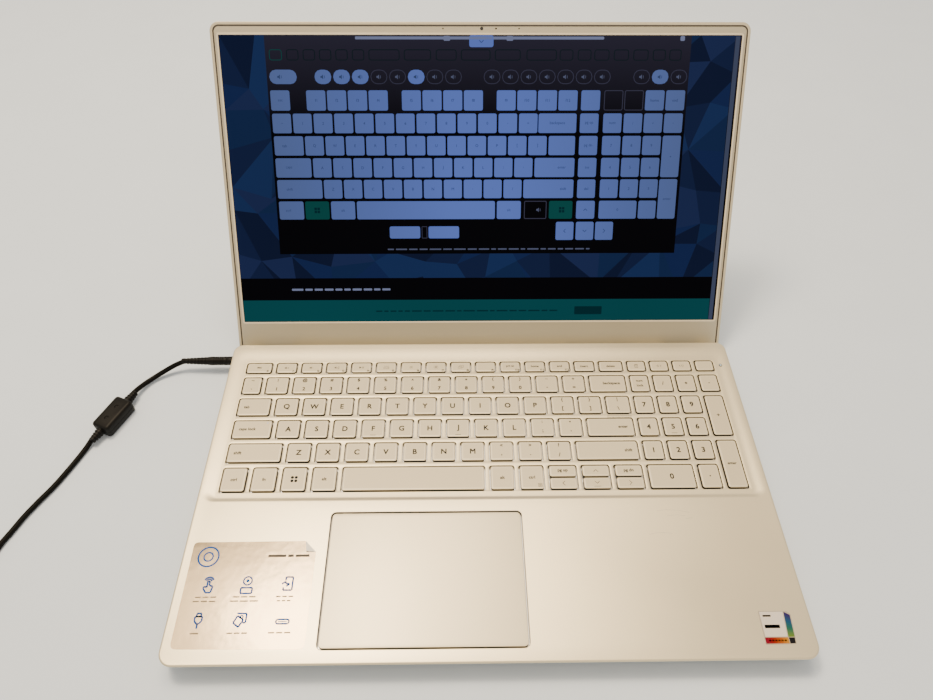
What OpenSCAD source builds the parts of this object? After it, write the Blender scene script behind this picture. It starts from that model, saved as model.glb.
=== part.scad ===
// Open laptop computer with a numeric keypad, a drop hinge, and its power lead plugged in.
// Everything is drawn with the deck's front edge at y = 0 and then moved so that the origin is
// on the table, under the middle of the open laptop. X is to the right, Y to the back, Z up.

/* [Base] */
// Width of the base
base_w = 356; // [355:0.5:358]
// Depth of the deck from its front edge to its rear edge
base_d = 222.5; // [222:0.1:222.8]
// Height of the deck above the table
deck_z = 15.8; // [15.8:0.1:16.4]
// Thickness of the deck skin
deck_t = 1.6; // [1.5:0.1:1.6]
// Thickness of the side walls
wall_t = 2.2; // [1.8:0.1:2.2]
// Height of the rubber feet
foot_h = 3.2; // [2.8:0.1:3.2]

/* [Lid] */
// Angle between the lid and the deck
lid_open = 123.5; // [100:0.5:134]
// Width of the lid
lid_w = 354.8; // [354:0.2:355]
// Thickness of the lid
lid_t = 4.5; // [4.5:0.1:4.6]
// Width of the picture on the display
screen_w = 344.2; // [343:0.1:344.2]
// Height of the picture on the display
screen_h = 193.6; // [192:0.1:193.6]

/* [Keyboard] */
// Width of a letter key's well
key_w = 16.37; // [16:0.01:16.37]
// Web between two wells in a row
web = 2.35; // [2.35:0.01:2.5]
// Web between two rows of wells
row_web = 2.75; // [2.7:0.01:2.75]
// Depth of the keyboard's recess below the deck
recess = 0.8; // [0.6:0.1:0.9]
// Distance that a key travels
key_travel = 1.2; // [1:0.1:1.2]
// Gap between a key cap and its well
key_gap = 0.45; // [0.4:0.05:0.6]

/* [Touchpad] */
// Width of the touchpad's cut-out
pad_w = 115.5; // [110:0.5:118]
// Depth of the touchpad's cut-out
pad_d = 81; // [78:0.5:81]

/* [Power lead] */
// Diameter of the lead
lead_d = 3.5; // [3.5:0.1:3.6]
// Length of the power adapter
adapter_l = 108; // [100:1:112]
// Width of the power adapter
adapter_w = 47; // [45:1:47]
// Height of the power adapter
adapter_h = 29; // [26:1:30]

/* [Hidden] */

// Heights in the base
half_w = base_w / 2;
cover_z = foot_h;
cover_t = 1.2;
floor_z = cover_z + cover_t;
split_z = 5.6;
skin_z = deck_z - deck_t;
bed_z = deck_z - recess;
cap_top = deck_z - 0.05;
cap_bottom = cap_top - 1.75;
key_slack = 0.3;
plate_top = cap_bottom - key_travel - key_slack;
plate_t = 0.5;
board_z = 7.2;
board_t = 1;
board_top = board_z + board_t;
port_z = 6.1;
port_top = 11.8;
front_r = 8;
rear_r = 6.5;

// Keyboard rows, from the space bar's row at the front to the function row at the back
keys_x0 = -166.15;
keys_x1 = 100.85;
keys_y0 = 102.6;
row_h = [18.2, 15.3, 15.3, 15.3, 15.3, 10.05];
numpad_x0 = 103.25;
numpad_w = 13.9;
f_key_w = 15.2;
big_key_w = 16.54;
arrow_w = 18.7;
arrow_split = 1;
well_r = 1.7;

// Lid, drawn closed and then swung open about the hinge
hinge_y = 221.6;
hinge_z = deck_z - 5.2;
lid_half = lid_w / 2;
lid_y0 = 0.4;
lid_y1 = 226.2;
lid_front_r = 6;
lid_rear_r = 3;
rim_z = deck_z + 0.3;
bezel_z = deck_z + 0.5;
lid_top = rim_z + lid_t;
lid_skin = 1;
rim_w = 1.9;
gasket_w = 0.7;
bezel_t = 0.9;
screen_y1 = 202;
camera_y = 4.5;
lens_r = 1;
screen_y0 = screen_y1 - screen_h;
panel_z = bezel_z + bezel_t;
panel_top = lid_top - lid_skin - 0.1;
pin_r = 1.5;
hub_r = 2.9;
pin_gap = 0.05;
arm_x0 = 150;
arm_x1 = 160;
bracket_x0 = 139;
bracket_x1 = 149.7;
notch_x0 = 137.5;
notch_x1 = 162;
notch_y = 212;

// Side profile of the lid's back cover: a bevelled front edge and a rounded rear edge
lid_profile = concat(
    [[lid_y0, rim_z], [lid_y1 - 0.5, rim_z], [lid_y1, rim_z + 0.5]],
    arc(lid_y1 - lid_rear_r, lid_top - lid_rear_r, lid_rear_r, 0, 90, 4),
    [[lid_y0 + 1.4, lid_top], [lid_y0, lid_top - 1.4]]
);
rear_most = max([for (p = lid_profile) opened_y(p)]);
mid_y = rear_most / 2;

// Screws that hold the bottom cover
boss_spots = [
    [-158, 14], [-112, 14], [60, 14], [158, 14], [-150, 95.2], [0, 95.2], [150, 95.2],
    [-122, 212.6], [-60, 212.6], [122, 212.6]
];
boss_r = 2.6;
boss_bore_r = 1.05;
screw_r = 1;
screw_head_r = 2.3;
screw_head_h = 0.7;

// Ports: distance of each centre from the deck's front edge
jack_y = 213;
jack_z = 9;
hdmi_y = 188;
usb_left_y = 166;
usb_c_y = 148;
card_y = 124;
usb_right_y = 150;
audio_y = 168;
audio_r = 1.8;
port_face = half_w - 0.2;
port_back = 165;
hdmi_size = [15.8, port_z, port_top];
usb_size = [13.8, port_z, port_top];
usb_c_size = [9.6, 7.2, 10.6];
card_size = [25.2, 7.4, 10.6];
audio_size = [6.8, 6.1, 11.8];

// Touchpad
pad_x0 = -94.1;
pad_y0 = 7.6;
pad_gap = 0.5;

// Cooling fan
fan_c = [87, 179];
fan_half = 25;
fan_top = 10.9;
fan_cavity_r = 22;
fan_pin_r = 1.5;

// Power lead: hand-picked points from the plug's strain relief to the coil, on the table
plug_r = 3.2;
barrel_r = 2.2;
plug_x1 = -196;
relief_x1 = -216;
lead_z = lead_d / 2;
lead_route = [
    [-214, 213, 9], [-221, 211, 7], [-229, 207, 4.5], [-236, 202, 3], [-241, 196, 3.5],
    [-245, 188, 5], [-249, 178, 5], [-253, 168, 5], [-257, 160, 5], [-262, 152, 4],
    [-266, 143, 2], [-271, 130, lead_z], [-277, 116, lead_z], [-283, 105, lead_z],
    [-288, 95, lead_z], [-292, 85, lead_z], [-296, 75, lead_z], [-298.5, 62, lead_z],
    [-298, 48, lead_z], [-294.8, 37, lead_z], [-291.2, 21.5, 2.25]
];
coil_c = [-322, 15];
coil_r = 22.75;
coil_turn_w = 6;
coil_layers = 2;
coil_z = 0.5;
adapter_x = -384;
adapter_y0 = -30;
adapter_outlet_z = 10;
adapter_relief_l = 24;
tail_x = coil_c[0] - coil_r - (coil_turn_w - 1) * lead_z;
turn_r = (tail_x - adapter_x) / 2;
turn_y = adapter_y0 + adapter_l + adapter_relief_l;
tail_route = concat(
    [[tail_x, 15, 5.5], [tail_x, 32, 3.5], [tail_x, 50, lead_z], [tail_x, 75, lead_z]],
    [for (a = [0:30:180])
        [tail_x - turn_r + turn_r * cos(a), turn_y + turn_r * sin(a), 2.5 + 6 * a / 180]],
    [[adapter_x, turn_y - 8, adapter_outlet_z]]
);
ring_step = 7.5;
tube_sides = 8;
block_c = [-253, 168, 5];
block_angle = 66;
block_size = [26, 13.5, 10];

// Points along an arc
function arc(cx, cy, r, a0, a1, n) =
    [for (i = [0:n]) [cx + r * cos(a0 + (a1 - a0) * i / n), cy + r * sin(a0 + (a1 - a0) * i / n)]];

// Rectangle with its own corner radius at the front and at the rear
function outline(x0, y0, x1, y1, front, rear, n) = concat(
    arc(x0 + front, y0 + front, front, 180, 270, n),
    arc(x1 - front, y0 + front, front, 270, 360, n),
    arc(x1 - rear, y1 - rear, rear, 0, 90, n),
    arc(x0 + rear, y1 - rear, rear, 90, 180, n)
);

// Where a [y, z] point of the closed lid goes when the lid is open
function opened_y(p) = hinge_y + (p[0] - hinge_y) * cos(lid_open) + (p[1] - hinge_z) * sin(lid_open);

// Left edge of well i in a row of wells
function well_x(widths, i) = i == 0 ? 0 : well_x(widths, i - 1) + widths[i - 1] + web;
function total(v, i = 0) = i == len(v) ? 0 : v[i] + total(v, i + 1);
function repeated(value, n) = [for (i = [1:n]) value];

// Front edge of row r
function row_y(r) = r == 0 ? keys_y0 : row_y(r - 1) + row_h[r - 1] + row_web;

// Wells of one row as [x0, y0, x1, y1]
function row_of(r, x0, widths) = [for (i = [0:len(widths) - 1])
    [x0 + well_x(widths, i), row_y(r), x0 + well_x(widths, i) + widths[i], row_y(r) + row_h[r]]];

// Widths of a main row whose last key fills what is left
function filled(widths) =
    concat(widths, [keys_x1 - keys_x0 - total(widths) - len(widths) * web]);

row_0 = row_of(0, keys_x0, concat(repeated(big_key_w, 4), [91, 16.3, 16.3], repeated(arrow_w, 3)));
row_1 = row_of(1, keys_x0, filled(concat([35.8], repeated(key_w, 10))));
row_2 = row_of(2, keys_x0, filled(concat([26.45], repeated(key_w, 11))));
row_3 = row_of(3, keys_x0, filled(concat([22.8], repeated(key_w, 12))));
row_4 = row_of(4, keys_x0, filled(concat([13.65], repeated(key_w, 12))));
row_5 = row_of(5, keys_x0, filled(concat([18.7], repeated(f_key_w, 13))));

// Wells of the numeric keypad's four columns in row r
function numpad_row(r) = row_of(r, numpad_x0, repeated(numpad_w, 4));
function merged(a, b) = [a[0], a[1], b[2], b[3]];
numpad_wells = concat(
    numpad_row(4),
    part(numpad_row(3), 0, 2), part(numpad_row(2), 0, 2), part(numpad_row(1), 0, 2),
    [merged(numpad_row(2)[3], numpad_row(3)[3]), merged(numpad_row(0)[3], numpad_row(1)[3])],
    [merged(numpad_row(0)[0], numpad_row(0)[1]), numpad_row(0)[2]]
);
power_well = numpad_row(5)[3];
all_wells = concat(row_0, row_1, row_2, row_3, row_4, row_5, numpad_wells, numpad_row(5));

function part(v, first, last) = [for (i = [first:last]) v[i]];

// Point at s (0 to len - 1) on a smooth curve through the points v
function on_curve(v, s) =
    let (i = min(floor(s), len(v) - 2), u = s - i,
         a = v[max(i - 1, 0)], b = v[i], c = v[i + 1], d = v[min(i + 2, len(v) - 1)])
    0.5 * (2 * b + (c - a) * u + (2 * a - 5 * b + 4 * c - d) * u * u
           + (3 * b - a - 3 * c + d) * u * u * u);
function unit(v) = v / norm(v);

module slab(points, z0, z1) {
    translate([0, 0, z0]) linear_extrude(z1 - z0) polygon(points);
}

module block(low, high) {
    translate(low) cube(high - low);
}

// A [y, z] outline drawn out along X
module along_x(points, x0, x1) {
    translate([x0, 0, 0]) rotate([90, 0, 90]) linear_extrude(x1 - x0) polygon(points);
}

// A [x, z] outline drawn out along Y
module along_y(points, y0, y1) {
    translate([0, y1, 0]) rotate([90, 0, 0]) linear_extrude(y1 - y0) polygon(points);
}

module rod_x(x0, x1, y, z, r) {
    translate([x0, y, z]) rotate([0, 90, 0]) cylinder(h = x1 - x0, r = r, $fn = 48);
}

// The lid's own pieces are drawn closed, then opened
module opened() {
    translate([0, hinge_y, hinge_z]) rotate([-lid_open, 0, 0]) translate([0, -hinge_y, -hinge_z])
        children();
}

module both_sides() {
    children();
    mirror([1, 0, 0]) children();
}

module base_slab(z0, z1, inset) {
    slab(outline(inset - half_w, inset, half_w - inset, base_d - inset,
                 front_r - inset, rear_r - inset, 5), z0, z1);
}

module port_hole(side, y, size) {
    gap = 0.1;
    mirror([side < 0 ? 1 : 0, 0, 0])
        block([half_w - wall_t - 1, y - size[0] / 2 - gap, size[1] - gap],
              [half_w + 1, y + size[0] / 2 + gap, size[2] + gap]);
}

module top_case() {
    color([0.80, 0.77, 0.71]) difference() {
        union() {
            difference() {
                base_slab(split_z, deck_z, 0);
                base_slab(split_z - 1, skin_z, wall_t);
            }
            difference() {
                block([-170, 98, plate_top], [170, 209.5, skin_z]);
                block([-168, 100.2, plate_top - 1], [168, 207.5, skin_z + 1]);
            }
            for (p = boss_spots)
                translate([p[0], p[1], floor_z]) cylinder(h = skin_z - floor_z, r = boss_r, $fn = 32);
        }
        slab(outline(-172, 100, 172, 208, 3, 3, 2), bed_z, deck_z + 1);
        for (k = all_wells)
            slab(outline(k[0], k[1], k[2], k[3], well_r, well_r, 2), plate_top - 2, deck_z + 1);
        slab(outline(pad_x0, pad_y0, pad_x0 + pad_w, pad_y0 + pad_d, 3, 3, 3), skin_z - 1, deck_z + 1);
        for (p = boss_spots)
            translate([p[0], p[1], floor_z - 1]) cylinder(h = 7.5, r = boss_bore_r, $fn = 32);
        both_sides() block([notch_x0, notch_y, 0], [notch_x1, base_d + 1, skin_z]);
        for (x = [64:5:109]) block([x, base_d - wall_t - 1, 6.2], [x + 3, base_d + 1, 11.2]);
        port_hole(-1, jack_y, [2 * plug_r, jack_z - plug_r, jack_z + plug_r]);
        port_hole(-1, hdmi_y, hdmi_size);
        port_hole(-1, usb_left_y, usb_size);
        port_hole(-1, usb_c_y, usb_c_size);
        port_hole(1, card_y, card_size);
        port_hole(1, usb_right_y, usb_size);
        port_hole(1, audio_y, audio_size);
    }
}

module bottom_cover() {
    slope = 9;
    edge = 0.3;
    inner = 7;
    side = [[edge, split_z], [slope, cover_z], [219.5, cover_z], [base_d - edge, split_z]];
    front = [[edge - half_w, split_z], [slope - half_w, cover_z],
             [half_w - slope, cover_z], [half_w - edge, split_z]];
    color([0.72, 0.70, 0.66]) {
        difference() {
            intersection() {
                base_slab(cover_z, split_z, edge);
                along_x(side, -half_w, half_w);
                along_y(front, 0, base_d);
            }
            slab(outline(inner - half_w, inner, half_w - inner, base_d - inner, 3, 3, 2),
                 floor_z, split_z + 1);
            for (p = boss_spots) translate([p[0], p[1], cover_z - 1]) {
                cylinder(h = 4, r = screw_r + 0.1, $fn = 32);
                cylinder(h = 1 + screw_head_h, r = screw_head_r + 0.1, $fn = 32);
            }
            both_sides() block([notch_x0, notch_y, 0], [notch_x1, base_d + 1, split_z + 1]);
            for (y = [160:4.8:189]) block([65, y, 0], [109, y + 2, split_z]);
            both_sides() for (x = [131:3.2:160]) block([x, 30, 0], [x + 1.4, 44, split_z]);
        }
        for (p = [[-140, 112], [-60, 112], [40, 112], [-140, 178], [40, 190], [134, 116], [134, 164]])
            translate([p[0], p[1], floor_z]) cylinder(h = board_z - floor_z, r = 2, $fn = 24);
        block([-171, 209, floor_z], [-port_back, 215, 6]);
        both_sides() for (y = [197, 206])
            translate([144.3, y, floor_z]) cylinder(h = hinge_z - hub_r - floor_z, r = 2.2, $fn = 24);
    }
}

module keyboard_plate() {
    color([0.62, 0.63, 0.64])
        slab(outline(-170, 98, 170, 209.5, 2, 2, 2), plate_top - plate_t, plate_top);
}

module touchpad_bracket() {
    z = 12.4;
    x0 = pad_x0 - 3.9;
    x1 = pad_x0 + pad_w + 3.6;
    color([0.60, 0.61, 0.62]) {
        difference() {
            block([x0, 5, z], [x1, 92, z + 0.6]);
            block([x0 + 30, 30, z - 1], [x1 - 30, 70, z + 1]);
        }
        for (x = [x0, x1 - 3]) for (y = [8, 82]) block([x, y, z + 0.6], [x + 3, y + 8, skin_z]);
    }
}

module battery_pack() {
    color([0.10, 0.10, 0.11])
        for (x = [-124:83:42]) block([x, 20, floor_z], [x + 82, 88, 10.8]);
    color([0.16, 0.16, 0.17]) block([-124, 88, floor_z], [124, 91, 9]);
}

module main_board() {
    color([0.05, 0.25, 0.16]) {
        slab([[-port_back, 104], [56, 104], [56, 206], [-132, 206], [-132, 186], [-port_back, 186]],
             board_z, board_top);
    }
    color([0.12, 0.12, 0.13]) {
        block([-32, 150, board_top], [-8, 174, board_top + 0.7]);
        block([-155, 110, board_top], [-150, 132, 11]);
        block([-74, 117, board_top], [-70, 125, 9.2]);
        for (y = [138, 170]) block([-133, y, board_top], [-128, y + 28, 11]);
        block([-62, 106, board_top], [-38, 110, 8.9]);
        for (x = [4:12:40]) block([x, 178, board_top], [x + 8, 186, 10.4]);
        for (y = [140:9:158]) block([10, y, board_top], [16, y + 6, 9.8]);
    }
}

module fan_housing() {
    color([0.13, 0.13, 0.14]) difference() {
        block([fan_c[0] - fan_half, fan_c[1] - fan_half, floor_z],
              [fan_c[0] + fan_half, fan_c[1] + fan_half + 2, fan_top]);
        translate([fan_c[0], fan_c[1], floor_z + 0.9])
            cylinder(h = fan_top - floor_z - 1.8, r = fan_cavity_r, $fn = 64);
        block([fan_c[0] - 20, fan_c[1], floor_z + 0.9],
              [fan_c[0] + 20, fan_c[1] + fan_half + 3, fan_top - 0.9]);
        difference() {
            translate([fan_c[0], fan_c[1], floor_z - 1]) cylinder(h = 3, r = 14, $fn = 48);
            translate([fan_c[0], fan_c[1], floor_z - 2]) cylinder(h = 5, r = 4, $fn = 32);
            for (a = [0, 60, 120]) translate([fan_c[0], fan_c[1], floor_z - 1.1])
                rotate([0, 0, a]) translate([-15, -1, 0]) cube([30, 2, 2]);
        }
    }
    color([0.5, 0.5, 0.5]) translate([fan_c[0], fan_c[1], floor_z + 0.9])
        cylinder(h = 3.4, r = fan_pin_r, $fn = 32);
}

module fan_impeller() {
    z = floor_z + 1.5;
    color([0.08, 0.08, 0.09]) translate([fan_c[0], fan_c[1], z]) difference() {
        union() {
            cylinder(h = 3.8, r = 8, $fn = 48);
            for (i = [0:22]) rotate([0, 0, i * 360 / 23]) translate([7, 0, 0])
                rotate([0, 0, -25]) cube([14, 0.7, 3.4]);
        }
        translate([0, 0, -1]) cylinder(h = 4, r = fan_pin_r + pin_gap, $fn = 32);
    }
}

module heat_sink() {
    color([0.72, 0.42, 0.28]) {
        block([-36, 146, 8.9], [-4, 178, 9.9]);
        block([-24, 150, 9.9], [-16, 213.5, 11.4]);
        block([-24, 207.5, 9.9], [112, 213.5, 11.4]);
        for (x = [62:2.5:112]) block([x - 0.3, 207.5, 5], [x + 0.3, 215.2, 9.9]);
    }
}

module ssd_module() {
    color([0.08, 0.24, 0.14]) block([-150, 110, 9.2], [-70, 132, 10]);
    color([0.1, 0.1, 0.1]) for (x = [-144, -112]) block([x, 112, 10], [x + 22, 130, 11.2]);
}

module memory_modules() {
    for (y = [138, 170]) {
        color([0.08, 0.28, 0.15]) block([-128, y, 9.4], [-60.4, y + 28, 10.4]);
        color([0.1, 0.1, 0.1]) for (x = [-122:15:-70]) block([x, y + 8, 10.4], [x + 9, y + 22, 11.3]);
    }
}

module wifi_card() {
    color([0.1, 0.3, 0.18]) block([-60, 106, 8.9], [-38, 136, 9.7]);
    color([0.7, 0.7, 0.7]) block([-58, 112, 9.7], [-40, 132, 11]);
}

module coin_cell() {
    color([0.75, 0.75, 0.76]) translate([20, 120, board_top]) cylinder(h = 3.2, r = 10, $fn = 48);
}

module speakers() {
    color([0.12, 0.12, 0.13]) both_sides() {
        block([130, 22, floor_z], [166, 78, 9.6]);
        block([136, 30, 9.6], [160, 54, 10.4]);
    }
}

module io_board() {
    audio_cut = [port_back - 1.5, 162];
    color([0.05, 0.25, 0.16])
        slab([[128, 110], [port_back, 110], [port_back, audio_cut[1]], audio_cut, [audio_cut[0], 172],
              [128, 172]], board_z, board_top);
    color([0.9, 0.9, 0.88]) block([129, 136, board_top], [133, 150, 9.4]);
    color([0.12, 0.12, 0.13]) block([142, 118, board_top], [156, 132, 9.2]);
}

// A port's metal shell on side +1 or -1, open towards the side of the base
module port_shell(side, y, size, wall, tongue) {
    mirror([side < 0 ? 1 : 0, 0, 0]) {
        difference() {
            block([port_back, y - size[0] / 2, size[1]], [port_face, y + size[0] / 2, size[2]]);
            block([port_back + 1.5, y - size[0] / 2 + wall, size[1] + wall],
                  [port_face + 1, y + size[0] / 2 - wall, size[2] - wall]);
        }
        if (tongue[0] > 0)
            block([port_back + 1, y - tongue[0] / 2, tongue[1]],
                  [port_face - 1.2, y + tongue[0] / 2, tongue[2]]);
    }
}

module dc_jack() {
    color([0.12, 0.12, 0.13]) difference() {
        block([wall_t + 0.1 - half_w, jack_y - 4.6, 6], [-163.5, jack_y + 3.4, 11.9]);
        rod_x(-half_w, -165, jack_y, jack_z, barrel_r + 0.1);
    }
    color([0.8, 0.8, 0.8]) rod_x(-165.5, -163.5, jack_y, jack_z, 0.5);
}

module hdmi_port() {
    color([0.55, 0.55, 0.56]) port_shell(-1, hdmi_y, hdmi_size, 0.5, [11, 8.6, 9.4]);
}

module usb_a_ports() {
    color([0.60, 0.60, 0.61]) {
        port_shell(-1, usb_left_y, usb_size, 0.5, [11, 9.2, 10.8]);
        port_shell(1, usb_right_y, usb_size, 0.5, [11, 9.2, 10.8]);
    }
}

module usb_c_port() {
    color([0.60, 0.60, 0.61]) port_shell(-1, usb_c_y, usb_c_size, 0.4, [6.6, 8.6, 9.2]);
}

module audio_jack() {
    color([0.10, 0.10, 0.11]) difference() {
        block([port_back - 1.5, audio_y - audio_size[0] / 2, audio_size[1]],
              [port_face, audio_y + audio_size[0] / 2, audio_size[2]]);
        rod_x(port_back, half_w, audio_y, jack_z, audio_r);
    }
}

module card_reader() {
    color([0.55, 0.55, 0.56]) port_shell(1, card_y, card_size, 0.5, [0, 0, 0]);
}

module hinge_brackets() {
    plate_z = hinge_z - hub_r;
    color([0.45, 0.46, 0.47]) both_sides() difference() {
        union() {
            rod_x(bracket_x0, bracket_x1, hinge_y, hinge_z, hub_r);
            block([bracket_x0, 190, plate_z], [bracket_x1, hinge_y, plate_z + 1.6]);
        }
        rod_x(bracket_x0 - 1, bracket_x1 + 1, hinge_y, hinge_z, pin_r + pin_gap);
    }
}

module rear_foot() {
    color([0.13, 0.13, 0.14]) slab(outline(-150, 194, 150, 202, 3.9, 3.9, 5), 0, cover_z);
}

module front_feet() {
    color([0.13, 0.13, 0.14]) both_sides()
        slab(outline(96, 14, 146, 20, 2.9, 2.9, 5), 0, cover_z);
}

module base_screws() {
    color([0.25, 0.25, 0.26]) for (p = boss_spots) translate([p[0], p[1], cover_z]) {
        difference() {
            cylinder(h = screw_head_h, r = screw_head_r, $fn = 32);
            for (a = [0, 90]) rotate([0, 0, a]) translate([-1.2, -0.3, -0.1]) cube([2.4, 0.6, 0.5]);
        }
        translate([0, 0, screw_head_h]) cylinder(h = 6.2, r = screw_r, $fn = 32);
    }
}

module flat_cables() {
    color([0.85, 0.83, 0.75]) {
        block([-10, 130, board_top], [14, 130.3, plate_top - plate_t]);
        along_x([[84, 12.1], [94, 12.1], [102, board_top], [108, board_top], [108, board_top + 0.3],
                 [102.2, board_top + 0.3], [94.2, 12.4], [84, 12.4]], -36, -16);
        block([50, 136, board_top], [129, 148, board_top + 0.3]);
    }
}

module arm_notches() {
    both_sides() block([arm_x0 - 0.3, hinge_y + 1.2, rim_z - 1],
                       [arm_x1 + 0.4, lid_y1 + 1, lid_top - lid_skin]);
}

module lid_slab(z0, z1, inset) {
    slab(outline(inset - lid_half, lid_y0 + inset, lid_half - inset, lid_y1 - inset,
                 lid_front_r - inset, lid_rear_r - inset * 0.6, 5), z0, z1);
}

module lid_back_cover() {
    color([0.80, 0.78, 0.73]) opened() difference() {
        intersection() {
            lid_slab(rim_z, lid_top, 0);
            along_x(lid_profile, -lid_half, lid_half);
        }
        lid_slab(rim_z - 1, lid_top - lid_skin, rim_w);
        arm_notches();
    }
}

module lid_bezel() {
    color([0.80, 0.77, 0.71]) opened() difference() {
        lid_slab(bezel_z, panel_z, rim_w + gasket_w);
        slab([[-screen_w / 2, screen_y0], [screen_w / 2, screen_y0],
              [screen_w / 2, screen_y1], [-screen_w / 2, screen_y1]], bezel_z - 1, panel_z + 1);
        translate([0, camera_y, bezel_z - 1]) cylinder(h = 3, r = lens_r + 0.1, $fn = 32);
        arm_notches();
    }
}

module lid_gasket() {
    color([0.20, 0.19, 0.18]) opened() difference() {
        lid_slab(rim_z - 0.1, panel_z, rim_w);
        lid_slab(rim_z - 1, panel_z + 1, rim_w + gasket_w);
        arm_notches();
    }
}

module display_panel() {
    color([0.05, 0.08, 0.20]) opened()
        block([-screen_w / 2 - 2.4, screen_y0 - 2.4, panel_z], [screen_w / 2 + 2.4, 205, panel_top]);
}

module camera_module() {
    color([0.05, 0.20, 0.14]) opened()
        block([-46, 2.7, panel_z], [46, 5.8, panel_z + 1.2]);
}

module camera_lens() {
    color([0.03, 0.03, 0.05]) opened()
        translate([0, camera_y, bezel_z + 0.05]) cylinder(h = bezel_t - 0.05, r = lens_r, $fn = 32);
}

// Gooseneck arm: a hub on the pin, a leg round the deck's rear edge, and a plate in the lid
module hinge_arms() {
    color([0.45, 0.46, 0.47]) opened() both_sides() difference() {
        union() {
            rod_x(arm_x0, arm_x1, hinge_y, hinge_z, hub_r);
            along_x([[hinge_y, hinge_z - 1.2], [hinge_y + 3.8, hinge_z - 1.2],
                     [hinge_y + 3.8, panel_z + 1.5], [207, panel_z + 1.5], [207, panel_z],
                     [hinge_y + 1.6, panel_z], [hinge_y + 1.6, hinge_z + 1.2],
                     [hinge_y, hinge_z + 1.2]], arm_x0, arm_x1);
            block([arm_x0 - 14, 207, panel_z], [arm_x1 + 10, 219, panel_z + 1.5]);
        }
        rod_x(arm_x0 - 1, arm_x1 - 0.5, hinge_y, hinge_z, pin_r);
    }
}

module hinge_pins() {
    color([0.7, 0.7, 0.72]) opened() both_sides()
        rod_x(bracket_x0 + 0.3, arm_x1 - 0.5, hinge_y, hinge_z, pin_r);
}

module display_cable() {
    color([0.12, 0.12, 0.13]) opened() {
        block([-134, 207, panel_z], [-40, 213, panel_z + 0.8]);
        block([-46, 205, panel_z], [-40, 207, panel_z + 0.8]);
    }
}

module touchpad() {
    color([0.79, 0.76, 0.70])
        slab(outline(pad_x0 + pad_gap, pad_y0 + pad_gap, pad_x0 + pad_w - pad_gap,
                     pad_y0 + pad_d - pad_gap, 2.6, 2.6, 3), skin_z - 0.5, deck_z - 0.2);
}

module caps(wells) {
    color([0.78, 0.74, 0.68]) for (k = wells)
        slab(outline(k[0] + key_gap, k[1] + key_gap, k[2] - key_gap, k[3] - key_gap, 1.4, 1.4, 2),
             cap_bottom, cap_top);
}

// The two half-height caps of an arrow key's well
function upper_half(k) = [k[0], (k[1] + k[3] + arrow_split) / 2 - key_gap, k[2], k[3]];
function lower_half(k) = [k[0], k[1], k[2], (k[1] + k[3] - arrow_split) / 2 + key_gap];

module power_button() { caps([power_well]); }
module escape_key() { caps([row_5[0]]); }
module function_keys() { caps(concat(part(row_5, 1, 14), part(numpad_row(5), 0, 2))); }
module number_keys() { caps(part(row_4, 0, 12)); }
module backspace_key() { caps([row_4[13]]); }
module tab_key() { caps([row_3[0]]); }
module upper_letter_keys() { caps(part(row_3, 1, 13)); }
module caps_lock_key() { caps([row_2[0]]); }
module home_letter_keys() { caps(part(row_2, 1, 11)); }
module enter_key() { caps([row_2[12]]); }
module left_shift_key() { caps([row_1[0]]); }
module lower_letter_keys() { caps(part(row_1, 1, 10)); }
module right_shift_key() { caps([row_1[11]]); }
module modifier_keys() { caps(concat(part(row_0, 0, 3), part(row_0, 5, 6))); }
module space_bar() { caps([row_0[4]]); }
module arrow_keys() {
    caps([for (k = part(row_0, 7, 9)) upper_half(k)]);
    caps([for (k = part(row_0, 7, 9)) lower_half(k)]);
}
module numpad_keys() { caps(numpad_wells); }

// Round tube through the points of a route
module tube(route) {
    length = total([for (i = [1:len(route) - 1]) norm(route[i] - route[i - 1])]);
    rings = ceil(length / ring_step);
    centres = [for (i = [0:rings]) on_curve(route, i * (len(route) - 1) / rings)];
    points = [for (i = [0:rings])
        let (t = unit(centres[min(i + 1, rings)] - centres[max(i - 1, 0)]),
             u = unit(cross([0, 0, 1], t)), w = cross(t, u))
        for (k = [0:tube_sides - 1])
            centres[i] + lead_d / 2 * (u * cos(k * 360 / tube_sides) + w * sin(k * 360 / tube_sides))];
    sides = [for (i = [0:rings - 1]) for (k = [0:tube_sides - 1])
        let (a = i * tube_sides + k, b = i * tube_sides + (k + 1) % tube_sides)
        [b, a, a + tube_sides, b + tube_sides]];
    ends = [[for (k = [tube_sides - 1:-1:0]) k],
            [for (k = [0:tube_sides - 1]) rings * tube_sides + k]];
    polyhedron(points = points, faces = concat(sides, [ends[1]], [ends[0]]), convexity = 10);
}

module dc_plug() {
    face = -half_w - 0.3;
    color([0.06, 0.06, 0.06]) {
        rod_x(plug_x1, face, jack_y, jack_z, plug_r);
        translate([plug_x1, jack_y, jack_z]) rotate([0, -90, 0])
            cylinder(h = plug_x1 - relief_x1, r1 = plug_r, r2 = lead_d / 2 + 0.3, $fn = 48);
    }
    color([0.75, 0.75, 0.76]) rod_x(face, -167, jack_y, jack_z, barrel_r);
}

module lead_tube() {
    color([0.05, 0.05, 0.05]) {
        tube(lead_route);
        tube(tail_route);
    }
}

module inline_block() {
    relief_l = 9;
    color([0.05, 0.05, 0.05]) translate(block_c) rotate([0, 0, block_angle]) {
        translate([-block_size[0] / 2, -block_size[1] / 2, -block_size[2] / 2 + 0.2])
            cube([block_size[0], block_size[1], block_size[2] - 0.2]);
        rod_x(-block_size[0] / 2 - relief_l, block_size[0] / 2 + relief_l, 0, 0, 3.2);
    }
}

// Half the width and the height of the wound turns
coil_half_w = coil_turn_w * lead_d / 2;
coil_h = coil_layers * lead_d;

module coil_section(grow) {
    translate([coil_r - coil_half_w - grow, coil_z - grow])
        square([2 * coil_half_w + 2 * grow, coil_h + 2 * grow]);
}

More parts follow.
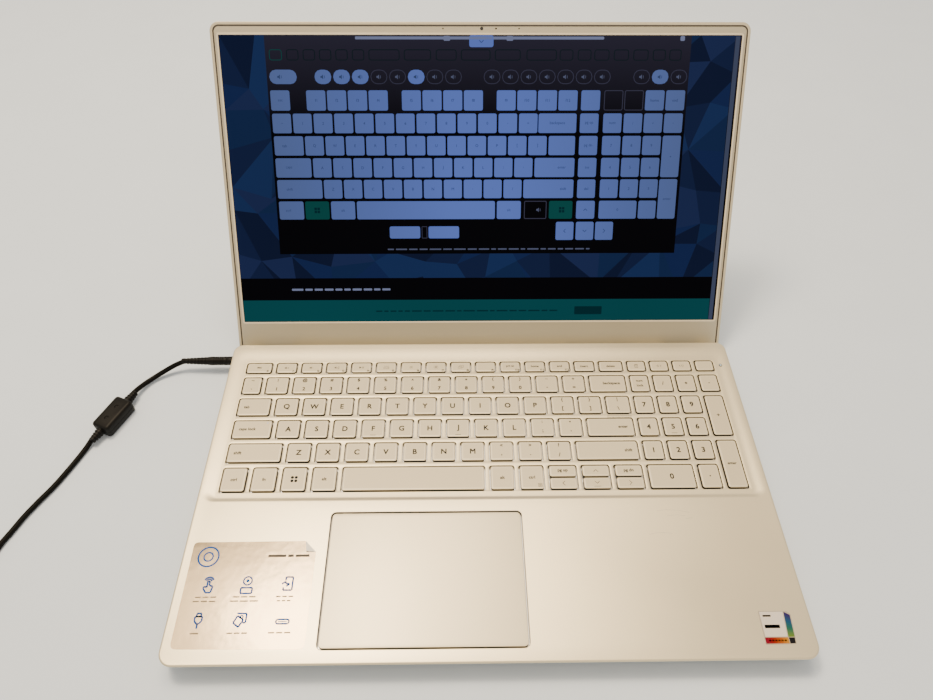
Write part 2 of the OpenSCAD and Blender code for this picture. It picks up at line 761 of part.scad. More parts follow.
module lead_coil() {
    color([0.05, 0.05, 0.05]) translate([coil_c[0], coil_c[1], 0])
        rotate_extrude($fn = 64) coil_section(0);
}

module lead_tie() {
    color([0.09, 0.09, 0.09]) translate([coil_c[0], coil_c[1], 0]) rotate([0, 0, 250])
        rotate_extrude(angle = 30, $fn = 64) difference() {
            coil_section(coil_z);
            coil_section(0);
        }
}

module power_adapter() {
    color([0.06, 0.06, 0.06]) {
        difference() {
            slab(outline(adapter_x - adapter_w / 2, adapter_y0, adapter_x + adapter_w / 2,
                         adapter_y0 + adapter_l, 5, 5, 4), 0, adapter_h);
            block([adapter_x - 9.5, adapter_y0 - 1, 8], [adapter_x + 9.5, adapter_y0 + 14, 21]);
        }
        translate([adapter_x, adapter_y0 + adapter_l, adapter_outlet_z]) rotate([-90, 0, 0])
            cylinder(h = adapter_relief_l, r1 = 3.6, r2 = lead_d / 2 + 0.3, $fn = 48);
    }
    color([0.75, 0.75, 0.76]) for (x = [-4.5, 4.5])
        translate([adapter_x + x, adapter_y0 + 14, 14.5]) rotate([90, 0, 0])
            cylinder(h = 11, r = 1.2, $fn = 24);
}

module placed() {
    translate([0, -mid_y, 0]) children();
}

placed() top_case();
placed() bottom_cover();
placed() keyboard_plate();
placed() touchpad_bracket();
placed() battery_pack();
placed() main_board();
placed() fan_housing();
placed() fan_impeller();
placed() heat_sink();
placed() ssd_module();
placed() memory_modules();
placed() wifi_card();
placed() coin_cell();
placed() speakers();
placed() io_board();
placed() dc_jack();
placed() hdmi_port();
placed() usb_a_ports();
placed() usb_c_port();
placed() audio_jack();
placed() card_reader();
placed() hinge_brackets();
placed() rear_foot();
placed() front_feet();
placed() base_screws();
placed() flat_cables();
placed() lid_back_cover();
placed() lid_bezel();
placed() lid_gasket();
placed() display_panel();
placed() camera_module();
placed() camera_lens();
placed() hinge_arms();
placed() hinge_pins();
placed() display_cable();
placed() touchpad();
placed() power_button();
placed() escape_key();
placed() function_keys();
placed() number_keys();
placed() backspace_key();
placed() tab_key();
placed() upper_letter_keys();
placed() caps_lock_key();
placed() home_letter_keys();
placed() enter_key();
placed() left_shift_key();
placed() lower_letter_keys();
placed() right_shift_key();
placed() modifier_keys();
placed() space_bar();
placed() arrow_keys();
placed() numpad_keys();
placed() dc_plug();
placed() lead_tube();
placed() inline_block();
placed() lead_coil();
placed() lead_tie();
placed() power_adapter();
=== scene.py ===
import random
from math import cos, pi, radians, sin

import bmesh
import bpy
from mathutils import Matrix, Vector
from mathutils.geometry import tessellate_polygon


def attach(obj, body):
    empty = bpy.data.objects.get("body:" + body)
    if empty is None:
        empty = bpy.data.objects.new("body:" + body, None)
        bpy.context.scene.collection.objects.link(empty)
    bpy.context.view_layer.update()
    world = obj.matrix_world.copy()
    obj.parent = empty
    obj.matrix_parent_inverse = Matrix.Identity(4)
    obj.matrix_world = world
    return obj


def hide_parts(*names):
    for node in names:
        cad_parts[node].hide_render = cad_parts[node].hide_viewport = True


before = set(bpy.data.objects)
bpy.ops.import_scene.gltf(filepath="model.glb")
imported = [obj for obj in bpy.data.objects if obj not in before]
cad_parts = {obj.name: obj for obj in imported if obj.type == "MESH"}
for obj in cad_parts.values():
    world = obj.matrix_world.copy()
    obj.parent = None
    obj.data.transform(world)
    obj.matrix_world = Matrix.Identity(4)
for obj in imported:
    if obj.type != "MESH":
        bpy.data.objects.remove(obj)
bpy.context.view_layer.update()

# ---------------------------------------------------------------- shared sizes, in millimetres
MID_Y = 175.6273
HALF_W = 178.0
BASE_D = 222.5
DECK_Z = 15.8
BED_Z = 15.0
DECK_UNDER = 14.2
SPLIT_Z = 5.6
COVER_Z = 3.2
CAP_TOP = 15.75
FRONT_R = 8.0
REAR_R = 6.5
LID_OPEN = radians(123.5)
HINGE_Y = 221.6
HINGE_Z = 10.6
LID_HALF = 177.4
LID_Y0 = 0.4
LID_Y1 = 226.2
RIM_Z = 16.1
BEZEL_Z = 16.3
PANEL_Z = 17.2
LID_TOP = 20.6
SCREEN_Y0 = 8.4
SCREEN_Y1 = 202.0
SCREEN_HALF = 172.1
WEB = 2.35
ROW_WEB = 2.75
KEYS_X0 = -166.15
KEYS_X1 = 100.85
KEYS_Y0 = 102.6
ROW_H = [18.2, 15.3, 15.3, 15.3, 15.3, 10.05]
KEY_W = 16.37
F_KEY_W = 15.2
BIG_KEY_W = 16.54
ARROW_W = 18.7
NUMPAD_X0 = 103.25
NUMPAD_W = 13.9
WELL_R = 1.7
KEY_GAP = 0.88
PAD = (-94.1, 7.6, 21.4, 88.6)
PAD_R = 3.2
LEAD_D = 3.5


def mm(x, y, z):
    """A point of the drawing, in metres in the row frame."""
    return Vector((x / 1000, (y - MID_Y) / 1000, z / 1000))


def opened(x, y, z):
    """A point of the closed lid, swung open."""
    dy = y - HINGE_Y
    dz = z - HINGE_Z
    c = cos(LID_OPEN)
    s = sin(LID_OPEN)
    return mm(x, HINGE_Y + dy * c + dz * s, HINGE_Z - dy * s + dz * c)


def add_object(name, data):
    obj = bpy.data.objects.new(name, data)
    bpy.context.scene.collection.objects.link(obj)
    return obj


# ---------------------------------------------------------------- camera
camera_data = bpy.data.cameras.new("camera")
camera_data.sensor_width = 36
camera_data.lens = 27.79
camera_data.clip_start = 0.01
camera_data.clip_end = 20
camera = add_object("camera", camera_data)
camera.location = mm(-18.02, -116.42, 416.50)
camera.rotation_euler = [radians(a) for a in (39.711, -0.447, -0.783)]
bpy.context.scene.camera = camera


# ---------------------------------------------------------------- materials
BLOTCH = 14.0
BUMP_DEPTH = 0.0002


def new_material(name):
    mat = bpy.data.materials.new(name)
    mat.use_nodes = True
    tree = mat.node_tree
    return mat, tree.nodes, tree.links, tree.nodes["Principled BSDF"]


def object_noise(nodes, links, scale, detail, rough, stretch=(1, 1, 1)):
    """Noise fixed to the object, its value."""
    coord = nodes.new("ShaderNodeTexCoord")
    mapping = nodes.new("ShaderNodeMapping")
    mapping.inputs["Scale"].default_value = stretch
    noise = nodes.new("ShaderNodeTexNoise")
    noise.inputs["Scale"].default_value = scale
    noise.inputs["Detail"].default_value = detail
    noise.inputs["Roughness"].default_value = rough
    links.new(coord.outputs["Object"], mapping.inputs["Vector"])
    links.new(mapping.outputs["Vector"], noise.inputs["Vector"])
    return noise.outputs["Fac"]


def ramp(nodes, links, source, low, high, dark, light):
    """The colour between dark and light that a value picks."""
    node = nodes.new("ShaderNodeValToRGB")
    node.color_ramp.elements[0].position = low
    node.color_ramp.elements[1].position = high
    node.color_ramp.elements[0].color = (*dark, 1)
    node.color_ramp.elements[1].color = (*light, 1)
    links.new(source, node.inputs["Fac"])
    return node.outputs["Color"]


def mixed(nodes, links, first, second, kind):
    mix = nodes.new("ShaderNodeMix")
    mix.data_type = "RGBA"
    mix.blend_type = kind
    mix.inputs["Factor"].default_value = 1.0
    links.new(first, mix.inputs[6])
    links.new(second, mix.inputs[7])
    return mix.outputs[2]


def shades(colour, vary):
    """The colour a little darker and a little lighter."""
    return [c * (1 - vary) for c in colour], [min(1.0, c * (1 + vary)) for c in colour]


def finish_of(name, colour, rough, metallic=0.0, vary=0.06, grain=1500, bump=0.05,
              spread=0.05, coat=0.0, coat_rough=0.1, specular=0.5, stretch=(1, 1, 1)):
    """A surface with fine grain, faint blotches of colour and uneven gloss."""
    mat, nodes, links, shader = new_material(name)
    fine = object_noise(nodes, links, grain, 2.0, 0.55, stretch)
    broad = object_noise(nodes, links, BLOTCH, 3.0, 0.5)
    tint = ramp(nodes, links, broad, 0.3, 0.7, *shades(colour, vary))
    speck = ramp(nodes, links, fine, 0.3, 0.72, [1 - vary] * 3, [1.0] * 3)
    links.new(mixed(nodes, links, tint, speck, "MULTIPLY"), shader.inputs["Base Color"])
    gloss = nodes.new("ShaderNodeMapRange")
    gloss.inputs["To Min"].default_value = max(0.02, rough - spread)
    gloss.inputs["To Max"].default_value = min(1.0, rough + spread)
    links.new(broad, gloss.inputs["Value"])
    links.new(gloss.outputs["Result"], shader.inputs["Roughness"])
    height = nodes.new("ShaderNodeBump")
    height.inputs["Strength"].default_value = bump
    height.inputs["Distance"].default_value = BUMP_DEPTH
    links.new(fine, height.inputs["Height"])
    links.new(height.outputs["Normal"], shader.inputs["Normal"])
    shader.inputs["Metallic"].default_value = metallic
    shader.inputs["Coat Weight"].default_value = coat
    shader.inputs["Coat Roughness"].default_value = coat_rough
    shader.inputs["Specular IOR Level"].default_value = specular
    return mat


silver = finish_of("silver case", (0.775, 0.70, 0.515), 0.36, 0.72, 0.025, 2600, 0.10, 0.03)
# The bezel's silver has a darker base colour than the case's: painted shade of the front-facing
# bezel.
silver_bezel_painted_shade = finish_of("silver bezel painted shade", (0.585, 0.535, 0.405), 0.42, 0.42, 0.02, 2600, 0.08, 0.03)
silver_bed = finish_of("silver key bed", (0.71, 0.64, 0.465), 0.42, 0.60, 0.02, 2600, 0.08, 0.03)
pad_finish = finish_of("touchpad glass", (0.755, 0.685, 0.51), 0.38, 0.40, 0.015, 1800, 0.05,
                       0.02, 0.15, 0.25)
cut_edge = finish_of("bright cut edge", (0.93, 0.87, 0.77), 0.14, 1.0, 0.02, 900, 0.02, 0.03)
key_finish = finish_of("key cap", (0.635, 0.568, 0.41), 0.46, 0.15, 0.02, 2200, 0.06, 0.03)
# A lighter copy of the key-cap plastic: a painted highlight on the crest of each cap's top bevel.
key_edge_highlight = finish_of("key cap edge painted highlight", (0.745, 0.68, 0.515), 0.40, 0.20, 0.02, 2200, 0.05, 0.03)
legend_ink = finish_of("legend ink", (0.040, 0.041, 0.038), 0.6, 0.0, 0.05, 900, 0.02, specular=0.02)
under_plastic = finish_of("bottom plastic", (0.555, 0.50, 0.385), 0.52, 0.10, 0.03, 1200, 0.35, 0.04)
rubber = finish_of("rubber", (0.035, 0.035, 0.036), 0.78, 0.0, 0.10, 900, 0.30, 0.06)
gasket_rubber = finish_of("gasket", (0.065, 0.055, 0.05), 0.62, 0.0, 0.08, 900, 0.20, 0.05)
cord_skin = finish_of("cord jacket", (0.0035, 0.0033, 0.0030), 0.48, 0.0, 0.10, 500, 0.12, 0.06,
                      specular=0.08)
black_plastic = finish_of("black plastic", (0.0050, 0.0050, 0.0052), 0.44, 0.0, 0.10, 1400, 0.25,
                          0.05, specular=0.14)
# A near-black finish of painted shade, put on the walls and floors of gaps, wells, holes and
# openings.
gap_painted_shade = finish_of("painted gap shade", (0.006, 0.007, 0.006), 0.8, 0.0, 0.05, 800, 0.05, specular=0.05)
steel = finish_of("stamped steel", (0.56, 0.565, 0.57), 0.34, 1.0, 0.05, 700, 0.10, 0.08,
                  stretch=(1, 14, 1))
hinge_steel = finish_of("hinge steel", (0.30, 0.305, 0.31), 0.38, 1.0, 0.08, 600, 0.12, 0.08)
pin_steel = finish_of("ground steel", (0.62, 0.62, 0.64), 0.22, 1.0, 0.04, 900, 0.05, 0.05,
                      stretch=(1, 20, 20))
screw_steel = finish_of("blackened screw", (0.10, 0.10, 0.105), 0.35, 1.0, 0.08, 800, 0.08, 0.06)
port_steel = finish_of("port shell", (0.55, 0.55, 0.56), 0.28, 1.0, 0.05, 600, 0.08, 0.06)
foil = finish_of("battery foil", (0.03, 0.03, 0.032), 0.30, 0.5, 0.10, 120, 0.40, 0.08)
board = finish_of("circuit board", (0.015, 0.11, 0.06), 0.32, 0.0, 0.15, 260, 0.30, 0.06)
fan_plastic = finish_of("fan plastic", (0.03, 0.03, 0.033), 0.45, 0.0, 0.10, 900, 0.20, 0.05)
copper = finish_of("copper pipe", (0.80, 0.40, 0.24), 0.26, 1.0, 0.10, 300, 0.10, 0.08)
cell_steel = finish_of("bright cell", (0.70, 0.70, 0.71), 0.24, 1.0, 0.04, 500, 0.06, 0.05)
ribbon = finish_of("ribbon cable", (0.80, 0.77, 0.68), 0.35, 0.0, 0.05, 300, 0.10, 0.05,
                   stretch=(40, 1, 1))


def glow_of(name, colour, vary=0.06, spread=0.0, haze=None):
    """A lit patch of the display behind satin glass, its brightness a little uneven.

    It dims by spread towards the picture's sides, or has haze added towards its top.
    """
    mat, nodes, links, shader = new_material(name)
    broad = object_noise(nodes, links, 7.0, 1.0, 0.4)
    glow = ramp(nodes, links, broad, 0.3, 0.7, *shades(colour, vary))
    if spread or haze:
        coord = nodes.new("ShaderNodeTexCoord")
        split = nodes.new("ShaderNodeSeparateXYZ")
        links.new(coord.outputs["Object"], split.inputs["Vector"])
    if spread:
        across = nodes.new("ShaderNodeMath")
        across.operation = "ABSOLUTE"
        links.new(split.outputs["X"], across.inputs[0])
        edge = ramp(nodes, links, across.outputs["Value"], 0.02, 0.16, (1, 1, 1),
                    (1 - spread * 0.4, 1 - spread * 0.55, 1 - spread))
        glow = mixed(nodes, links, glow, edge, "MULTIPLY")
    if haze:
        top = ramp(nodes, links, split.outputs["Z"], 0.135, 0.185, (0, 0, 0), haze)
        glow = mixed(nodes, links, glow, top, "ADD")
    links.new(glow, shader.inputs["Emission Color"])
    shader.inputs["Emission Strength"].default_value = 1.0
    shader.inputs["Base Color"].default_value = (0.0005, 0.0005, 0.0008, 1)
    shader.inputs["Roughness"].default_value = 0.24
    shader.inputs["Specular IOR Level"].default_value = 0.02
    return mat


NAVY = [glow_of("navy " + str(i + 1), c) for i, c in enumerate((
    (0.0065, 0.0130, 0.046), (0.0080, 0.0170, 0.066), (0.0115, 0.0200, 0.068),
    (0.0070, 0.0180, 0.060), (0.0100, 0.0240, 0.082), (0.0045, 0.0085, 0.030)))]
screen_black = glow_of("display glass", (0.002, 0.002, 0.004))
panel_black = glow_of("picture black", (0.0008, 0.0008, 0.0019), haze=(0.020, 0.018, 0.032))
teal_bar = glow_of("picture teal bar", (0.0015, 0.058, 0.066))
scroll_grey = glow_of("picture scroll bar", (0.050, 0.060, 0.105))
screen_key = glow_of("picture key", (0.100, 0.156, 0.500), 0.05, 0.50)
screen_teal = glow_of("picture teal key", (0.001, 0.060, 0.055))
screen_pale = glow_of("picture pale strip", (0.16, 0.18, 0.30))
screen_hair = glow_of("picture outline", (0.040, 0.040, 0.072))
screen_green = glow_of("picture green outline", (0.002, 0.055, 0.050))
screen_dim = glow_of("picture dim outline", (0.003, 0.011, 0.014))
screen_dark_teal = glow_of("picture dark teal", (0.001, 0.022, 0.028))
screen_ink = glow_of("picture letters", (0.035, 0.055, 0.14))
screen_grey = glow_of("picture grey marks", (0.075, 0.085, 0.150))
lip_finish = finish_of("bezel lip", (0.85, 0.76, 0.58), 0.30, 0.35, 0.02, 1800, 0.04, 0.03)
lens_glass = finish_of("lens glass", (0.010, 0.012, 0.018), 0.08, 0.0, 0.10, 300, 0.01, 0.02,
                       0.6, 0.05)
foil_label_finish = finish_of("foil label", (0.19, 0.155, 0.11), 0.16, 1.0, 0.05, 90, 0.35, 0.05)
label_back = finish_of("label back", (0.78, 0.78, 0.74), 0.35, 0.2, 0.04, 500, 0.05)
label_edge = finish_of("label edge", (0.42, 0.38, 0.31), 0.45, 0.2, 0.04, 600, 0.05)
light_off = finish_of("pale light", (0.48, 0.50, 0.85), 0.30, 0.0, 0.05, 600, 0.05)
light_blue = finish_of("pale blue light", (0.50, 0.66, 0.78), 0.25, 0.0, 0.05, 600, 0.05)
scratch = finish_of("scratch", (0.52, 0.47, 0.38), 0.5, 0.3, 0.08, 900, 0.05, specular=0.04)
floor_finish = finish_of("floor", (0.70, 0.81, 0.97), 0.65, 0.0, 0.01, 30, 0.02, 0.03)


def ink_finish(name, colour, rough, vary=0.06, grain=500, bump=0.05, specular=0.04):
    """A printed ink, nearly without shine."""
    return finish_of(name, colour, rough, 0.0, vary, grain, bump, specular=specular)


label_blue = ink_finish("label blue", (0.004, 0.085, 0.40), 0.7)
label_taupe = ink_finish("label taupe", (0.26, 0.21, 0.15), 0.7)
label_dark = ink_finish("label dark", (0.10, 0.09, 0.08), 0.5)
label_white = ink_finish("label white", (0.70, 0.65, 0.60), 0.40, 0.03, 600)
label_ink = ink_finish("label ink", (0.010, 0.010, 0.013), 0.45, 0.06, 600)


def lerp(a, b, t):
    """The numbers of a and b mixed, from a at 0 to b at 1."""
    return tuple(p + (q - p) * t for p, q in zip(a, b))


def between(stops, t):
    """A colour on a path of evenly spaced colours."""
    i = min(int(t * (len(stops) - 1)), len(stops) - 2)
    return lerp(stops[i], stops[i + 1], t * (len(stops) - 1) - i)


GRADES = 14
COLD = [(0.11, 0.19, 0.030), (0.015, 0.11, 0.080), (0.015, 0.065, 0.16), (0.030, 0.016, 0.11)]
HOT = [(0.19, 0.004, 0.022), (0.24, 0.010, 0.006), (0.34, 0.075, 0.010), (0.44, 0.20, 0.022)]
stripe_colours, band_colours = [
    [ink_finish(name + str(i + 1), between(stops, i / (GRADES - 1)), 0.6, 0.03, 600, 0.04, 0.05)
     for i in range(GRADES)] for name, stops in (("stripe ", COLD), ("band ", HOT))]


# ---------------------------------------------------------------- mesh building
def arc(cx, cy, r, start, end, steps):
    """Points of an arc, angles in degrees."""
    out = []
    for i in range(steps + 1):
        a = radians(start + (end - start) * i / steps)
        out.append((cx + r * cos(a), cy + r * sin(a)))
    return out


def rounded(rect, front, rear, steps, grow=0.0):
    """A rounded rectangle as [x, y] points, grown outward by some millimetres."""
    x0, y0, x1, y1 = rect
    x0, y0, x1, y1 = x0 - grow, y0 - grow, x1 + grow, y1 + grow
    f = max(0.06, front + grow)
    r = max(0.06, rear + grow)
    return (arc(x0 + f, y0 + f, f, 180, 270, steps)
            + arc(x1 - f, y0 + f, f, 270, 360, steps)
            + arc(x1 - r, y1 - r, r, 0, 90, steps)
            + arc(x0 + r, y1 - r, r, 90, 180, steps))


SHARP = 38.0


class Maker:
    """Collects the faces of one piece. Points are drawn in millimetres and put in place."""

    def __init__(self, place=mm):
        self.bm = bmesh.new()
        self.place = place

    def loop(self, points):
        return [(p, self.bm.verts.new(self.place(*p))) for p in points]

    def face(self, corners, mat=0, smooth=True):
        f = self.bm.faces.new([c[1] for c in corners])
        f.material_index = mat
        f.smooth = smooth
        return f

    def strip(self, a, b, mat=0, smooth=True):
        for i in range(len(a)):
            j = (i + 1) % len(a)
            self.face((a[i], a[j], b[j], b[i]), mat, smooth)

    def skin(self, rings, mat=0, capped=False):
        for a, b in zip(rings, rings[1:]):
            self.strip(a, b, mat)
        if capped:
            self.face(rings[0], mat, False)
            self.face(rings[-1], mat, False)

    def fill(self, loops, mat=0):
        """Fills the first loop, with the others as holes in it."""
        corners = [v for one in loops for v in one]
        flats = [[Vector((p[0], p[1], 0)) for p, _ in one] for one in loops]
        for tri in tessellate_polygon(flats):
            self.face([corners[i] for i in tri], mat, False)

    def rows(self, rect, front, rear, steps, rows):
        """Rings of a rounded rectangle, each row (grow, z) or (grow, z, material of the strip)."""
        loops = []
        for row in rows:
            ring = self.loop([(x, y, row[1]) for x, y in rounded(rect, front, rear, steps, row[0])])
            if loops:
                self.strip(loops[-1], ring, row[2] if len(row) > 2 else 0)
            loops.append(ring)
        return loops

    def solid(self, rect, front, rear, steps, rows, ends=(0, 0)):
        """Rows closed at both ends. The ends are the materials of the two faces."""
        drawn = self.rows(rect, front, rear, steps, rows)
        self.fill([drawn[0]], ends[0])
        self.fill([drawn[-1]], ends[1])

    def box(self, low, high, r, steps=2):
        """A block, its upright and top edges rounded by r."""
        self.solid((low[0], low[1], high[0], high[1]), r, r, steps, [
            (-r * 0.7, low[2]), (0, low[2] + r * 0.7), (0, high[2] - r),
            (-r * 0.3, high[2] - r * 0.3), (-r, high[2])])

    def turned(self, centre, axis, profile, sides=32, mat=0):
        """A profile of (distance along the axis, radius) turned about an axis (0, 1 or 2)."""
        rings = []
        for along, radius in profile:
            ring = []
            for k in range(sides):
                a = 2 * pi * k / sides
                p = [0.0, 0.0, 0.0]
                p[axis] = centre[axis] + along
                p[(axis + 1) % 3] = centre[(axis + 1) % 3] + max(radius, 0.01) * cos(a)
                p[(axis + 2) % 3] = centre[(axis + 2) % 3] + max(radius, 0.01) * sin(a)
                ring.append(tuple(p))
            rings.append(self.loop(ring))
        self.skin(rings, mat, True)

    def done(self, name, mats, sharp=SHARP, weld=True):
        if weld:
            bmesh.ops.remove_doubles(self.bm, verts=self.bm.verts, dist=1e-7)
        bmesh.ops.recalc_face_normals(self.bm, faces=self.bm.faces)
        mesh = bpy.data.meshes.new(name)
        self.bm.to_mesh(mesh)
        self.bm.free()
        mesh.set_sharp_from_angle(angle=radians(sharp))
        for m in mats:
            mesh.materials.append(m)
        return add_object(name, mesh)


def carve(obj, cutter):
    """Cuts one piece with another and removes the cutter."""
    mod = obj.modifiers.new("cut", "BOOLEAN")
    mod.operation = "DIFFERENCE"
    mod.solver = "EXACT"
    mod.use_hole_tolerant = True
    mod.material_mode = "TRANSFER"
    mod.object = cutter
    dg = bpy.context.evaluated_depsgraph_get()
    mesh = bpy.data.meshes.new_from_object(obj.evaluated_get(dg))
    obj.modifiers.clear()
    obj.data = mesh
    mesh.set_sharp_from_angle(angle=radians(SHARP))
    bpy.data.objects.remove(cutter)


def hinge_room(obj, place, across, low, high, edge, finish):
    """Cuts room for the two hinges: across in X, and low and high in Y and Z."""
    for side in (-1, 1):
        cutter = Maker(place)
        x0, x1 = sorted((side * across[0], side * across[1]))
        cutter.box((x0, *low), (x1, *high), edge)
        carve(obj, cutter.done("cutter", [finish]))


def finish_piece(obj, body="base", slot="silver_case", *nodes):
    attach(obj, body)
    if nodes:
        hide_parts(*nodes)
    return obj


# ---------------------------------------------------------------- the power lead
LEAD_R = LEAD_D / 2
COIL_X = -322.0
COIL_Y = 15.0
COIL_IN = 14.0
COIL_OUT = 31.5
COIL_TURNS = 5
RISE_TURNS = 192 / 360
COIL_START = 12.0
TAIL_X = COIL_X - COIL_OUT
ADAPTER_X = -384.0
ADAPTER_Y0 = -30.0
ADAPTER_L = 108.0
ADAPTER_W = 47.0
ADAPTER_H = 29.0
OUTLET_Z = 10.0
BLOCK = (-253.0, 168.0, 5.0)
BLOCK_ANGLE = 66.0
JACK = (213.0, 9.0)
PER_SPAN = 5
PER_TURN = 40


def on_curve(v, s):
    """Point at s (0 to len - 1) on a smooth curve through the points v."""
    i = min(int(s), len(v) - 2)
    u = s - i
    a = Vector(v[max(i - 1, 0)])
    b = Vector(v[i])
    c = Vector(v[i + 1])
    d = Vector(v[min(i + 2, len(v) - 1)])
    return 0.5 * (2 * b + (c - a) * u + (2 * a - 5 * b + 4 * c - d) * u * u
                  + (3 * b - a - 3 * c + d) * u * u * u)


def coil_point(turn):
    """A point of the coil, so many turns after its start: in, up a layer, and out again."""
    a = radians(COIL_START - 360 * turn)
    pitch = (COIL_OUT - COIL_IN) / COIL_TURNS
    low = 0.5 + LEAD_R
    if turn <= COIL_TURNS:
        r = COIL_OUT - pitch * turn
        z = low
    elif turn <= COIL_TURNS + RISE_TURNS:
        u = (turn - COIL_TURNS) / RISE_TURNS
        r = COIL_IN - 0.8 * sin(pi * u)
        w = min(1.0, u / 0.85)
        z = low + LEAD_D * w * w * (3 - 2 * w)
    else:
        r = COIL_IN + pitch * (turn - COIL_TURNS - RISE_TURNS)
        z = low + LEAD_D
    return (COIL_X + r * cos(a), COIL_Y + r * sin(a), z)


def lead_points():
    """The lead's centreline: along the table, round the coil, and into the adapter."""
    route = [
        (-214, 213, 9), (-221, 211, 7), (-229, 207, 4.5), (-236, 202, 3), (-241, 196, 3.5),
        (-245, 188, 5), (-249, 178, 5), (-253, 168, 5), (-257, 160, 5), (-262, 152, 4),
        (-266, 143, 2), (-271, 130, LEAD_R), (-277, 116, LEAD_R), (-283, 105, LEAD_R),
        (-288, 95, LEAD_R), (-292, 85, LEAD_R), (-296, 75, LEAD_R), (-298.5, 62, LEAD_R),
        (-298, 48, LEAD_R), (-294.8, 37, LEAD_R), (-291.2, 21.5, 0.5 + LEAD_R),
    ]
    out = [on_curve(route, i / PER_SPAN) for i in range(PER_SPAN * (len(route) - 1))]
    turns = 2 * COIL_TURNS + RISE_TURNS
    count = int(turns * PER_TURN)
    out += [Vector(coil_point(turns * i / count)) for i in range(count)]
    turn_r = (TAIL_X - ADAPTER_X) / 2
    turn_y = ADAPTER_Y0 + ADAPTER_L + 24
    tail = [(TAIL_X, 15, 5.75), (TAIL_X, 32, 3.6), (TAIL_X, 50, LEAD_R), (TAIL_X, 75, LEAD_R)]
    for a in range(0, 181, 30):
        t = radians(a)
        tail.append((TAIL_X - turn_r + turn_r * cos(t), turn_y + turn_r * sin(t),
                     2.5 + 6 * a / 180))
    tail.append((ADAPTER_X, turn_y - 8, OUTLET_Z))
    return out + [on_curve(tail, i / PER_SPAN) for i in range(PER_SPAN * (len(tail) - 1) + 1)]


def tube(maker, points, radius, sides):
    """A round tube along points, its frame carried along without twist."""
    rings = []
    side = None
    for i, p in enumerate(points):
        t = (points[min(i + 1, len(points) - 1)] - points[max(i - 1, 0)]).normalized()
        if side is None:
            side = t.cross(Vector((0, 0, 1))).normalized()
        side = (side - t * side.dot(t)).normalized()
        up = t.cross(side)
        ring = []
        for k in range(sides):
            a = 2 * pi * k / sides
            ring.append(tuple(p + radius * (side * cos(a) + up * sin(a))))
        rings.append(maker.loop(ring))
    maker.skin(rings, 0, True)


def ribs(start, step, count, radius, taper, shape):
    """A row of ribs: shape lists each point as a shift along the axis and in the radius."""
    return [(start + step * i + along, radius - taper * i + out)
            for i in range(count) for along, out in shape]


lead_line = lead_points()
maker = Maker()
tube(maker, lead_line, LEAD_R, 14)
lead_cord = finish_piece(maker.done("lead_cord", [cord_skin], 60), "power_lead", "cord_black",
                         "lead_tube", "lead_coil")

# The plug: a ribbed grip, a tapering strain relief and a bright barrel
maker = Maker()
grip = [(-0.3, 2.4), (-0.3, 2.9), (-0.7, 3.2), (-5.0, 3.2), (-5.4, 3.0), (-5.8, 3.2)]
grip += ribs(-7.4, -1.5, 5, 3.2, 0, ((0, 0), (-0.3, -0.25), (-0.7, -0.25), (-1.0, 0)))
grip += [(-17.0, 3.2), (-18.2, 3.0)]
grip += ribs(-19.4, -2.5, 7, 2.95, 0.13, ((0, 0), (-0.15, -0.35), (-0.95, -0.4), (-1.1, -0.06)))
grip += [(-37.6, 2.05), (-38.0, 1.85)]
maker.turned((-HALF_W, JACK[0], JACK[1]), 0, grip, 32)
barrel = [(-0.35, 1.9), (-0.35, 2.2), (9.6, 2.2), (10.5, 2.0), (11.0, 1.7), (11.0, 1.2), (3.0, 1.2)]
maker.turned((-HALF_W, JACK[0], JACK[1]), 0, barrel, 32, 1)
plug = finish_piece(maker.done("lead_plug", [black_plastic, port_steel]), "power_lead",
                    "black_plastic", "dc_plug")


def along_block(x, y, z):
    """A point of the in-line block, drawn along X, turned to lie along the lead."""
    a = radians(BLOCK_ANGLE)
    return mm(BLOCK[0] + x * cos(a) - y * sin(a),
              BLOCK[1] + x * sin(a) + y * cos(a), BLOCK[2] + z)


maker = Maker(along_block)
body_rows = [(-1.6, -4.8), (-0.5, -4.5), (0, -3.6), (0, -0.25), (-0.22, -0.1), (-0.22, 0.1),
             (0, 0.25), (0, 3.4), (-0.5, 4.4), (-1.7, 5.0)]
drawn = maker.rows((-13, -6.75, 13, 6.75), 2.4, 2.4, 6, body_rows)
maker.fill([drawn[0]])
dimples = []
for x in (-5.0, 5.0):
    rim = maker.loop([(px, py, 5.0) for px, py in arc(x, 0, 1.5, 0, 345, 23)])
    low = maker.loop([(px, py, 4.55) for px, py in arc(x, 0, 1.1, 0, 345, 23)])
    maker.strip(rim, low)
    maker.face(low)
    dimples.append(rim)
maker.fill([drawn[-1]] + dimples)
for side in (-1, 1):
    relief = [(12.0, 3.2), (13.6, 3.2)]
    relief += ribs(13.9, 2.0, 4, 3.15, 0.24, ((0, -0.45), (0.7, -0.45), (0.9, 0), (1.7, -0.08)))
    relief.append((22.0, 1.8))
    maker.turned((0, 0, 0), 0, [(side * x, radius) for x, radius in relief], 28)
block_piece = finish_piece(maker.done("inline_block_shell", [black_plastic]), "power_lead",
                           "black_plastic", "inline_block")

